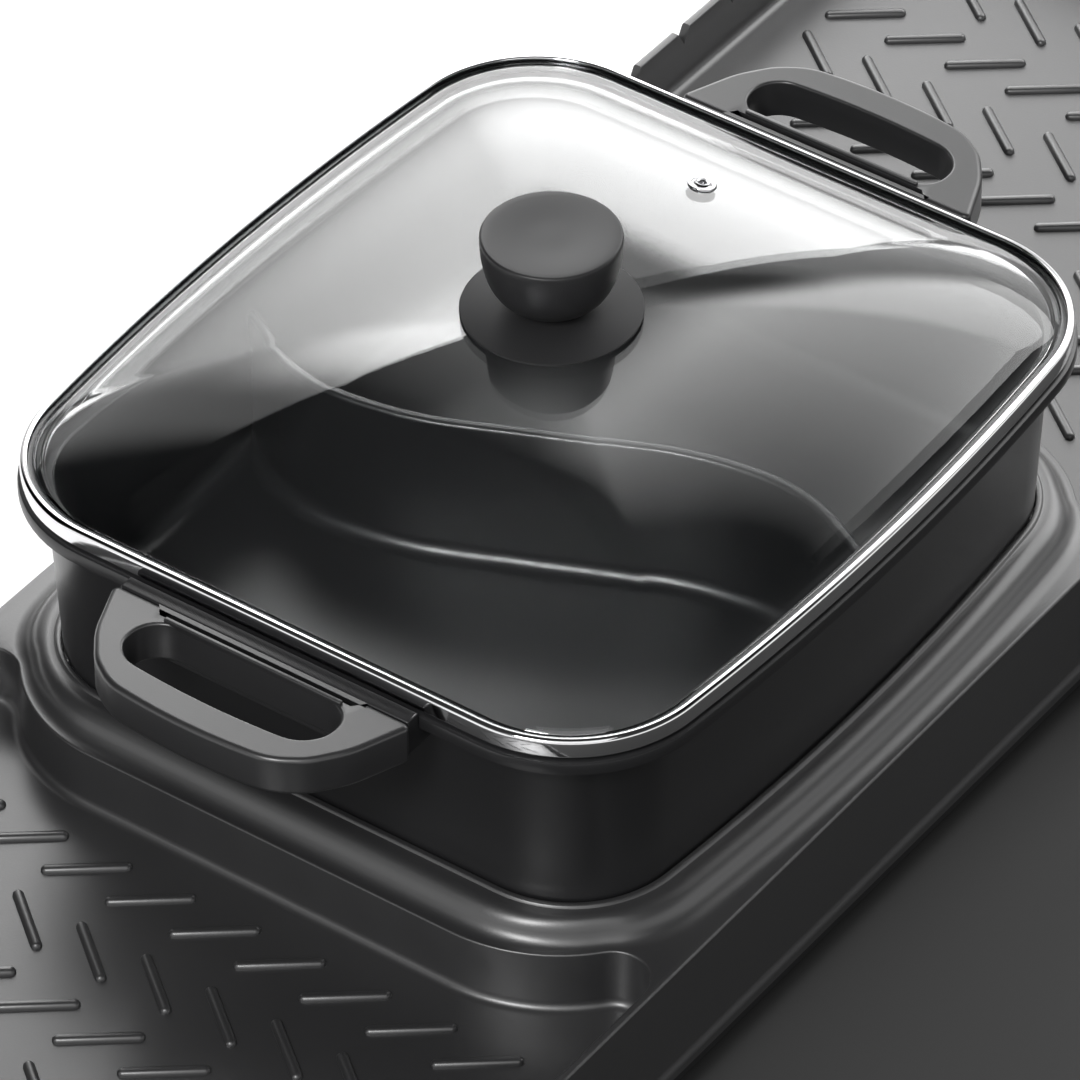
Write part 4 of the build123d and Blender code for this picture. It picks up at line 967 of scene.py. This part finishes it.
def bowedSide(path, root, outer):
    # splits the long straight sides and draws their ends in, so that the outer one bows outwards
    split = []
    for (x, y, nx, ny), (x2, y2, _, _) in zip(path, path[1:] + path[:1]):
        straight = hypot(x2 - x, y2 - y) > handle["bowLeast"] and abs(x2 - x) < 0.01
        parts = handle["bowSteps"] if straight else 1
        split += [(x + (x2 - x) * k / parts, y + (y2 - y) * k / parts, nx, ny) for k in range(parts)]
    bowed = []
    for x, y, nx, ny in split:
        out = max(0.0, (x - root) / (outer - root))
        bowed.append((x - handle["bow"] * out * min(1.0, abs(y) / handle["outerHalf"])**2, y, nx, ny))
    return bowed


def handlePlans(root, outer):
    # the outline and the finger slot
    shoulder = common["lidHalfLength"] + handle["shoulder"]
    half = [(root, handle["rootHalf"]), (shoulder, handle["shoulderHalf"]), (outer, handle["outerHalf"])]
    rounds = [handle[key] for key in ("rootRound", "shoulderRound", "outerRound")]
    plan = filletedPath([(x, -y) for x, y in half] + half[::-1], rounds + rounds[::-1],
                        handle["planSteps"])
    slotX = common["lidHalfLength"] + handle["slotStart"] + handle["slotWidth"] / 2
    corners = [(slotX + sideX * handle["slotWidth"] / 2, sideY * handle["slotLength"] / 2)
               for sideX, sideY in ((-1, -1), (1, -1), (1, 1), (-1, 1))]
    slot = filletedPath(corners, [handle["slotRound"], handle["slotRound"] * handle["slotOuter"]] * 2)
    return bowedSide(plan, root, outer), bowedSide(slot, root, outer)


def makeHandleMesh(side):
    lid = common["lidHalfLength"]
    root, outer = lid + handle["root"], lid + handle["reach"]
    top = common["potTop"] + pot["stripRise"]
    low = top - handle["depth"]
    plan, slot = handlePlans(root, outer)
    shape = newShape()
    edge, lap = handle["edge"], handle["lap"]
    topEdge = edge * handle["topShare"]
    lowRing, topRing = addWall(shape, lambda out: offsetPath(plan, out), [
        (-edge - lap, low), *cornerArc(0, low, -edge, edge, 5),
        *cornerArc(0, top, -topEdge, -topEdge, 5, turned=True), (-topEdge - lap, top)])
    edge, topEdge, lap = handle["slotEdge"], handle["slotTopEdge"], handle["slotLap"]
    slotLow, slotTop = addWall(shape, lambda out: offsetPath(slot, out), [
        (edge + lap, low), *cornerArc(0, low, edge, edge, 4),
        *cornerArc(0, top, topEdge, -topEdge, 4, turned=True), (topEdge + lap, top)])
    fillBetween(shape, lowRing, slotLow)

    # narrow groove between the lug and the slot
    near, far = root + handle["grooveGap"], root + handle["grooveWidth"]
    half, point = handle["grooveHalf"], handle["groovePoint"]
    groove = [(near, -half, -1, -1), (far, point - half, 1, -1), (far, half - point, 1, 1),
              (near, half, -1, 1)]
    grooveTop, grooveLow = addWall(shape, lambda out: offsetPath(groove, out), [
        *lifted(handle["grooveEdge"], top), (0.0, top - handle["grooveDepth"])])
    cap(shape, grooveLow)
    fillBetween(shape, topRing, slotTop, grooveTop)
    body = shapeMesh("handleBody", shape)

    # thin rib beside the slot and the tongue under the lug
    extra = newShape()
    ribX, ribHalf = lid + handle["slotStart"], handle["slotLength"] / 2 - handle["ribMargin"]
    addExtrusion(extra, boxProfile(ribX - handle["ribWidth"], top - handle["ribSunk"], ribX,
                                   top + handle["ribRise"]), -ribHalf, ribHalf)
    tongue = common["potTop"] - pot["lugDepth"]
    addExtrusion(extra, boxProfile(root - handle["tongueIn"], tongue - handle["tongueDepth"],
                                   root + handle["tongueOut"], tongue),
                 -handle["tongueHalf"], handle["tongueHalf"])
    details = bevelled(shapeMesh("handleDetails", extra), handle["detailRound"])
    mesh = joinMeshes("handle", [body, details])
    if side < 0:
        mesh.transform(Matrix.Scale(-1, 4, (1, 0, 0)))
        mesh.flip_normals()
    return mesh


for side, word in ((-1, "left"), (1, "right")):
    newPiece(word + "Handle", makeHandleMesh(side), "handleResin", "pot_body", ["handle_" + word])
print("handles made")


# lid: rolled steel rim, domed glass, vent eyelet

rim = {
    "footRound": 0.9, "round": 1.6, "ledge": 7.4, "ledgeSheet": 1.6, "cornerSteps": 24,
    # (inset, up) from the rim's top, inside the roll
    "roll": [(2.35, -0.05), (2.6, -0.35), (2.55, -0.8), (1.6, -1.05)], "innerInset": 1.5,
}
glass = {
    "wall": 4.0, "rise": 0.1, "power": 2.4, "fullness": 0.85, "flatShare": 0.14,
    "skirt": 1.7, "skirtEdge": 0.1, "skirtRise": 0.4, "edgeTop": 2.0, "landEnd": 0.5,
    # shares of the outline from the edge to the middle
    "shares": [1.0, 0.998, 0.994, 0.988, 0.98, 0.97, 0.955, 0.94, 0.92, 0.9, 0.87, 0.84, 0.8, 0.76,
               0.71, 0.66, 0.6, 0.54, 0.47, 0.4, 0.33, 0.26, 0.19, 0.12, 0.06],
}


def makeRimShape():
    shape = newShape()
    low, top, bend, foot = common["rimLow"], common["rimTop"], rim["round"], rim["footRound"]
    ledge = low + rim["ledgeSheet"]
    sections = [(rim["ledge"], low), *cornerArc(0, low, foot, foot, 4),
                *cornerArc(0, top, bend, -bend, 8, turned=True), *lifted(rim["roll"], top),
                (rim["innerInset"], ledge), (rim["ledge"], ledge)]
    rings = [addRing(shape, bowedOutline(inset, cornerSteps=rim["cornerSteps"]), level)
             for inset, level in sections]
    bridgeAll(shape, rings + rings[:1])
    return shape


def domeSwell(share):
    # height of the dome at a share of its outline, flat in the middle
    def arch(part):
        return max(0.0, 1 - part**glass["power"])**glass["fullness"]

    rise = common["domeRise"]
    return min(rise, rise * arch(share) / arch(glass["flatShare"]))


def makeGlassShape():
    shape = newShape()
    base, inset, wall = common["glassTop"], common["domeInset"], glass["wall"]
    ledge, skirt = common["rimLow"] + rim["ledgeSheet"], glass["skirt"]

    def glassLoop(place):
        return bowedOutline(*place, rim["cornerSteps"])

    outer = [((skirt + glass["skirtEdge"], 1.0), ledge), ((skirt, 1.0), ledge + glass["skirtRise"]),
             ((skirt, 1.0), base - glass["skirtRise"]), ((glass["edgeTop"], 1.0), base),
             ((inset - glass["landEnd"], 1.0), base)]
    dome = [(share, base + domeSwell(share) + glass["rise"]) for share in glass["shares"]]
    outer += [((inset, share), level) for share, level in dome]
    inner = [((inset + wall, share), level - wall) for share, level in reversed(dome)]
    inner.append(((inset + wall, 1.0), ledge))
    outerStart, outerEnd = addWall(shape, glassLoop, outer)
    innerStart, innerEnd = addWall(shape, glassLoop, inner)
    cap(shape, outerEnd)
    cap(shape, innerStart)
    bridge(shape, innerEnd, outerStart)
    return shape


newPiece("lidRim", shapeMesh("lidRim", makeRimShape()), "polishedSteel", "lid_body", ["lid_rim"],
         50)
newPiece("lidGlass", shapeMesh("lidGlass", makeGlassShape()), "temperedGlass", "lid_body",
         ["lid_glass"], 40)


def turnedMesh(name, profile, steps=64, matrix=None):
    # profile of (radius, level) from the bottom to the top, closed on the axis
    shape = newShape()
    rings = []
    turns = [2 * pi * k / steps for k in range(steps)]
    for radius, level in profile:
        if radius == 0:
            rings.append(addPoints(shape, [(0, 0, level)]))
        else:
            rings.append(addRing(shape, [(radius * cos(a), radius * sin(a)) for a in turns], level))
    for low, high in zip(rings, rings[1:]):
        if 1 in (len(low), len(high)):
            tip, ring = (low[0], high) if len(low) == 1 else (high[0], low)
            for k in range(len(ring)):
                shape["faces"].append((ring[k], ring[(k + 1) % len(ring)], tip))
        else:
            bridge(shape, low, high)
    mesh = shapeMesh(name, shape)
    if matrix:
        mesh.transform(matrix)
    return mesh


vent = {
    "x": 91.0, "y": 4.0, "radius": 5.0, "steps": 40,
    # (radius, up) along the dome's normal
    "profile": [(0, -1.2), (1.5, -1.2), (1.5, 0.9), (1.9, 1.25), (2.5, 1.3), (2.9, 0.9), (3.2, 0.62),
                (3.7, 0.6), (4.3, 0.85), (4.8, 0.7), (5.0, 0.3), (5.0, -0.4), (2.6, -0.6),
                (2.6, -5.2), (0, -5.2)],
}


def makeVent():
    reach = common["lidHalfLength"] - common["domeInset"]
    step, share = vent["radius"] / reach, vent["x"] / reach
    slope = (domeSwell(share - step) - domeSwell(share + step)) / (2 * vent["radius"])
    level = common["glassTop"] + domeSwell(share)
    place = Matrix.Translation((vent["x"] * mm, vent["y"] * mm, level * mm))
    place = place @ Matrix.Rotation(atan2(slope, 1), 4, "Y")
    return turnedMesh("ventEyelet", vent["profile"], vent["steps"], place)


newPiece("ventEyelet", makeVent(), "eyeletSteel", "lid_body", ["vent_eyelet"], 45)
print("lid made")


# knob: conical skirt, neck, cup with a dished top

knob = {
    "skirt": 30.2, "neck": 11.0, "foot": 12.2, "radius": 23.4, "height": 25.3, "dish": 0.55,
    "lift": 0.3, "skirtRise": 3.3, "neckRise": 2.0, "edge": 1.0, "swellRise": 23.8, "steps": 96,
    # (inwards, up) round the skirt's edge
    "skirtEdge": [(0.5, 0), (0.08, 0.2), (0.0, 0.55), (0.1, 0.85), (0.5, 1.1)],
    # shares of the way from the foot to the cup's full radius and height
    "swell": [(0, 0), (0.06, 0.004), (0.16, 0.02), (0.3, 0.06), (0.45, 0.12), (0.6, 0.205),
              (0.73, 0.31), (0.83, 0.43), (0.91, 0.57), (0.965, 0.72), (0.99, 0.86), (1, 0.96)],
    "dishSteps": 11, "dishShare": 1.25,
}


def knobProfiles():
    low = common["glassTop"] + common["domeRise"] + knob["lift"]
    seat, foot, radius, edge = low + knob["skirtRise"], knob["foot"], knob["radius"], knob["edge"]
    cup = seat + knob["neckRise"]
    top = cup + knob["height"]
    skirt = [(0, low), *((knob["skirt"] - inward, low + up) for inward, up in knob["skirtEdge"]),
             (foot + 1.4, seat - 0.12), (foot + 0.4, seat), (0, seat)]
    neck = [(0, seat), (knob["neck"], seat), (knob["neck"], cup), (0, cup)]
    grip = [(0, cup), (foot - 0.6, cup)]
    grip += [(foot + (radius - foot) * out, cup + 0.1 + knob["swellRise"] * up)
             for out, up in knob["swell"]]
    grip += cornerArc(radius, top, -edge, -edge, 6, turned=True, first=1)
    for k in range(1, knob["dishSteps"] + 1):
        share = k / knob["dishSteps"]
        sunk = knob["dish"] * sin(pi / 2 * min(1, share * knob["dishShare"]))**2
        grip.append(((radius - edge) * (1 - share), top - sunk))
    return skirt, neck, grip


skirtProfile, neckProfile, gripProfile = knobProfiles()
newPiece("knobSkirt", turnedMesh("knobSkirt", skirtProfile, knob["steps"]), "knobMatt", "lid_body",
         ["knob_skirt"])
newPiece("knobNeck", turnedMesh("knobNeck", neckProfile), "knobResin", "lid_body", ["knob_neck"])
newPiece("knobGrip", turnedMesh("knobGrip", gripProfile, knob["steps"]), "knobResin", "lid_body",
         ["knob_grip"], 50)
print("knob made")


# dials with fluted grips and a pointer, and the printed scales round them

dial = {
    "places": {"pot": 171.0, "grill": 251.0}, "level": 24.0, "foot": 146.8, "reach": 13.7,
    "radius": 14.5, "flange": 2.4, "gripFoot": 11.75, "gripTip": 10.95, "bore": 3.06,
    "boreDepth": 8.0, "steps": 72, "flutes": 24, "fluteWidth": 1.5, "fluteRise": 0.42,
    "fluteSunk": 0.15, "fluteRoot": 0.5, "fluteSteps": 4, "fluteEnds": (0.9, 2.3), "fluteRun": 0.8,
    "fluteLeast": 0.2, "ridgeHalf": 1.7, "ridgeTop": 10.0, "ridgeSunk": 2.0, "ridgeRound": 0.5,
    "lineHalf": 0.45, "lineFrom": 2.5, "lineEnd": 1.2, "lineDepths": (0.02, 0.3),
    "marks": 10, "markStep": 30.0, "markFrom": 15.9, "markTo": 17.7, "markHalf": 0.4,
    "markDepths": (0.1, 0.05), "panelFace": 146.5,
    # (radius beyond, up) from the foot, the flange and the tip
    "footEdge": [(-0.9, 0), (-0.2, 0.25), (0.0, 0.8)],
    "flangeEdge": [(0.0, -0.8), (-0.2, -0.25), (-0.8, 0)],
    "gripRoot": [(0.5, 0.04), (0.1, 0.3), (0.0, 0.8)],
    "gripEdge": [(0.0, -1.2), (-0.2, -0.5), (-0.7, -0.1), (-1.3, 0), (-2.6, -0.3)], "tipSunk": 0.35,
}


def dialProfile():
    bore, tip = dial["bore"], dial["reach"] - 1.0
    profile = [(0, dial["boreDepth"]), (bore, dial["boreDepth"]), (bore, 0.3), (bore + 0.3, 0)]
    for key, radius, level in (
            ("footEdge", dial["radius"], 0), ("flangeEdge", dial["radius"], dial["flange"]),
            ("gripRoot", dial["gripFoot"], dial["flange"]), ("gripEdge", dial["gripTip"], tip)):
        profile += [(radius + out, level + up) for out, up in dial[key]]
    return profile + [(0, tip - dial["tipSunk"])]


def makeFluteMesh():
    # one raised flute along the grip, above the dial's axis
    shape = newShape()
    half, rise, steps = dial["fluteWidth"] / 2, dial["fluteRise"], dial["fluteSteps"]
    low, high = dial["flange"] + dial["fluteEnds"][0], dial["reach"] - dial["fluteEnds"][1]
    foot, tip, run, least = dial["gripFoot"], dial["gripTip"], dial["fluteRun"], dial["fluteLeast"]
    rings = []
    for along, radius, share in ((low, foot, least), (low + run, foot, 1.0), (high - run, tip, 1.0),
                                 (high, tip, least)):
        turns = [pi * k / steps for k in range(steps + 1)]
        loop = [(half * cos(turn), radius - dial["fluteSunk"] + rise * share * sin(turn))
                for turn in turns]
        loop += [(-half, radius - dial["fluteRoot"]), (half, radius - dial["fluteRoot"])]
        rings.append(addPoints(shape, [(x, -along - dial["foot"], z) for x, z in loop]))
    bridgeAll(shape, rings)
    cap(shape, rings[0])
    cap(shape, rings[-1])
    return shapeMesh("flute", shape)


def makeBlockMesh(name, x, half, depths, levels):
    # a block from one depth to the other along Y, half as wide on each side of x
    shape = newShape()
    addExtrusion(shape, boxProfile(x - half, levels[0], x + half, levels[1]), *depths)
    return shapeMesh(name, shape)


def spread(item, finish, count, step, place):
    # copies of an item turned about the dial's axis
    thing = newObject("spokeItem", item)
    mesh = runTree(emptyHost("spokeHost"), spokesTree, {
        "Item": thing, "Finish": looks[finish], "Count": count, "Step": radians(step),
        "Centre": (place * mm, 0.0, dial["level"] * mm)})
    bpy.data.objects.remove(thing)
    return mesh


def makeDial(word, place):
    foot, tip, level = dial["foot"], dial["foot"] + dial["reach"], dial["level"]
    top, face = level + dial["ridgeTop"], dial["panelFace"]
    turn = Matrix.Translation((place * mm, -foot * mm, level * mm)) @ Matrix.Rotation(radians(90), 4, "X")
    body = turnedMesh(word + "Dial", dialProfile(), dial["steps"], turn)
    flutes = spread(makeFluteMesh(), "handleResin", dial["flutes"], 360 / dial["flutes"], place)
    ridge = bevelled(makeBlockMesh("ridge", place, dial["ridgeHalf"],
                                   (-tip, -foot - dial["ridgeSunk"]), (level, top)),
                     dial["ridgeRound"], 2)
    newPiece(word + "Dial", joinMeshes(word + "Dial", [body, flutes, ridge]), "handleResin",
             word + "_dial_body", [word + "_dial"])
    line = makeBlockMesh("line", place, dial["lineHalf"], [depth - tip for depth in dial["lineDepths"]],
                         (level + dial["lineFrom"], top - dial["lineEnd"]))
    newPiece(word + "DialLine", line, "printInk", word + "_dial_body")
    sunk, proud = dial["markDepths"]
    mark = makeBlockMesh("mark", 0.0, dial["markHalf"], (-face - sunk, -face + proud),
                         (dial["markFrom"], dial["markTo"]))
    newPiece(word + "Scale", spread(mark, "printInk", dial["marks"], dial["markStep"], place),
             "printInk", "base")


for word, place in dial["places"].items():
    makeDial(word, place)
print("dials made")


# finishes of the nodes that keep their solid

finishes = {
    "housingResin": ["base_housing", "inlet_shroud"], "footRubber": ["rubber_feet", "knob_washer"],
    "screwSteel": ["body_screws", "pan_screws", "handle_screws", "knob_screw", "pot_spindle",
                   "grill_spindle"],
    "sheetSteel": ["well_pan", "plate_posts", "element_clips", "heat_shield_left",
                   "heat_shield_right"],
    "turnedAluminium": ["heating_plate"], "panelGloss": ["control_panel"],
    "heatedTube": ["plate_element", "grill_element_left", "grill_element_right"],
    "contactBrass": ["thermal_fuse", "inlet_pins"], "amberLens": ["indicator_lenses"],
    "insulatorCeramic": ["pot_thermostat", "grill_thermostat", "terminal_block"],
}
for finish, names in finishes.items():
    for name in names:
        materials = nodes[name].data.materials
        materials.clear()
        materials.append(looks[finish])
print("nodes finished")


# floor, surroundings and the bright sheets that the glass and the coats mirror, in metres

stage = {
    "half": 6.0, "tone": 0.85, "greyTone": 0.033, "blend": 0.1, "drop": 0.0002, "lift": 0.32,
    "roughness": 0.7, "ambient": 0.35, "ceiling": 0.03, "horizon": 14.0, "overhead": 34.0,
}
# sheet over the back: its edge in plan, levels and reach; turns are degrees from straight back
mainSheet = {
    "edge": [(-1.2, 0.72), (0.0, 0.665), (0.45, 0.655), (0.85, 0.724), (1.30, 0.808), (2.04, 1.025),
             (3.1, 1.32)],
    "top": 1.2, "foot": 0.12, "back": 2.9, "spread": 2.4, "spreadTo": 1.0, "power": 4.8, "weak": 0.7,
    "darkTo": 17.0, "weakTo": 23.0, "fullFrom": 54.0, "lowShare": 0.22, "fullLevel": 0.7,
}
sideSheet = {
    "from": 0.4, "front": -0.9, "power": 4.1, "start": 0.66, "full": 1.2, "lean": 0.35,
    "dim": 0.22, "brightTo": 0.3, "dimFrom": 0.62,
}
# round spots on the sheets: place, radii of the core and of the rim, strength in each
patch = {"x": 1.4, "y": 0.76, "core": 0.14, "rim": 0.42, "inside": 0.2, "outside": 1.0}
boost = {"x": 0.74, "y": 0.84, "core": 0.1, "rim": 0.38, "inside": 1.8, "outside": 1.0}


def spotFade(tree, parts, spot):
    alongX, alongY = (combine(tree, "SUBTRACT", parts[axis], spot[axis.lower()]) for axis in "XY")
    square = combine(tree, "ADD", times(tree, alongX, alongX), times(tree, alongY, alongY))
    return ramp(tree, combine(tree, "SQRT", square, 0.0), spot["core"], spot["rim"],
                spot["inside"], spot["outside"])


def mainGlow():
    # dark at the left end, weak beside it, full towards the right, dimmer low down
    material, tree, glow = newMaterial("mainGlow", "ShaderNodeEmission")
    parts = placeParts(tree)
    turn = combine(tree, "ARCTAN2", parts["X"], parts["Y"])
    power = ramp(tree, turn, radians(mainSheet["weakTo"]), radians(mainSheet["fullFrom"]),
                 mainSheet["weak"], mainSheet["power"])
    end = ramp(tree, turn, 0.0, radians(mainSheet["darkTo"]), 0.0, 1.0)
    fall = ramp(tree, parts["Z"], mainSheet["foot"], mainSheet["fullLevel"], mainSheet["lowShare"],
                1.0, "LINEAR")
    strength = times(tree, power, end, fall, spotFade(tree, parts, patch), spotFade(tree, parts, boost))
    tree.links.new(strength, glow.inputs["Strength"])
    return material


def sideGlow():
    # grows to the right from nothing, dimmer where it meets the main sheet
    material, tree, glow = newMaterial("sideGlow", "ShaderNodeEmission")
    parts = placeParts(tree)
    across = combine(tree, "ADD", parts["X"], times(tree, parts["Y"], sideSheet["lean"]))
    power = ramp(tree, across, sideSheet["start"], sideSheet["full"], 0.0, sideSheet["power"],
                 "LINEAR")
    fall = ramp(tree, parts["Y"], sideSheet["brightTo"], sideSheet["dimFrom"], 1.0, sideSheet["dim"])
    strength = times(tree, power, fall, spotFade(tree, parts, patch))
    tree.links.new(strength, glow.inputs["Strength"])
    return material


def makeFlat(name, nearRow, farRow, material):
    # a row of quads between two rows of points
    count = len(nearRow)
    mesh = bpy.data.meshes.new(name)
    mesh.from_pydata(nearRow + farRow, [], [(k, k + 1, count + k + 1, count + k)
                                            for k in range(count - 1)])
    mesh.materials.append(material)
    thing = newObject(name, mesh)
    return thing


def makeSheets():
    edge, top, back = mainSheet["edge"], mainSheet["top"], mainSheet["back"]
    far = [(x * back / y if x > mainSheet["spreadTo"] else x * mainSheet["spread"], back,
            mainSheet["foot"]) for x, y in edge]
    right = [(x, y) for x, y in edge if x > sideSheet["from"]]
    for sheet in (
            makeFlat("mainSheet", [(x, y, top) for x, y in edge], far, mainGlow()),
            makeFlat("sideSheet", [(x, y, top) for x, y in right],
                     [(x, sideSheet["front"], top) for x, y in right], sideGlow())):
        sheet.visible_camera = False
        sheet.visible_shadow = False


def floorMaterial():
    # white and lifted towards the backdrop behind the object, grey in front of it
    material, tree, shader = newMaterial("paleFloor")
    back, blend = placeParts(tree)["Y"], stage["blend"]
    pale = ramp(tree, back, -blend, blend, stage["greyTone"], stage["tone"])
    lift = ramp(tree, back, -blend, blend, 0.0, stage["lift"])
    path = addNode(tree, "ShaderNodeLightPath").outputs
    shiny = combine(tree, "MAXIMUM", path["Is Glossy Ray"], path["Is Transmission Ray"])
    seen = combine(tree, "MAXIMUM", path["Is Camera Ray"], shiny)
    colour = addNode(tree, "ShaderNodeCombineXYZ", values={0: pale, 1: pale, 2: pale}).outputs[0]
    tree.links.new(colour, shader.inputs["Base Color"])
    tree.links.new(times(tree, seen, lift), shader.inputs["Emission Strength"])
    setInputs(shader, {"Roughness": stage["roughness"], "Emission Color": (1, 1, 1, 1)})
    return material


def makeWorld():
    # white for the camera, a pale horizon and a dark ceiling in reflections
    world = bpy.data.worlds.new("surroundings")
    world.use_nodes = True
    bpy.context.scene.world = world
    tree = world.node_tree
    background = next(node for node in tree.nodes if node.type == "BACKGROUND")
    background.inputs["Color"].default_value = (1, 1, 1, 1)
    horizon, overhead = (sin(radians(stage[key])) for key in ("horizon", "overhead"))
    mirrored = ramp(tree, placeParts(tree, "Generated")["Z"], horizon, overhead, 1.0, stage["ceiling"])
    path = addNode(tree, "ShaderNodeLightPath").outputs
    shiny = combine(tree, "MAXIMUM", path["Is Glossy Ray"], path["Is Transmission Ray"])
    strength = addNode(tree, "ShaderNodeMix", values={
        "Factor": shiny, "A": stage["ambient"], "B": mirrored}).outputs["Result"]
    strength = addNode(tree, "ShaderNodeMix", values={
        "Factor": path["Is Camera Ray"], "A": strength, "B": 1.0}).outputs["Result"]
    tree.links.new(strength, background.inputs["Strength"])


half, low = stage["half"], -stage["drop"]
makeFlat("floor", [(-half, -half, low), (half, -half, low)], [(-half, half, low), (half, half, low)],
         floorMaterial())
makeSheets()
makeWorld()
print("stage made")
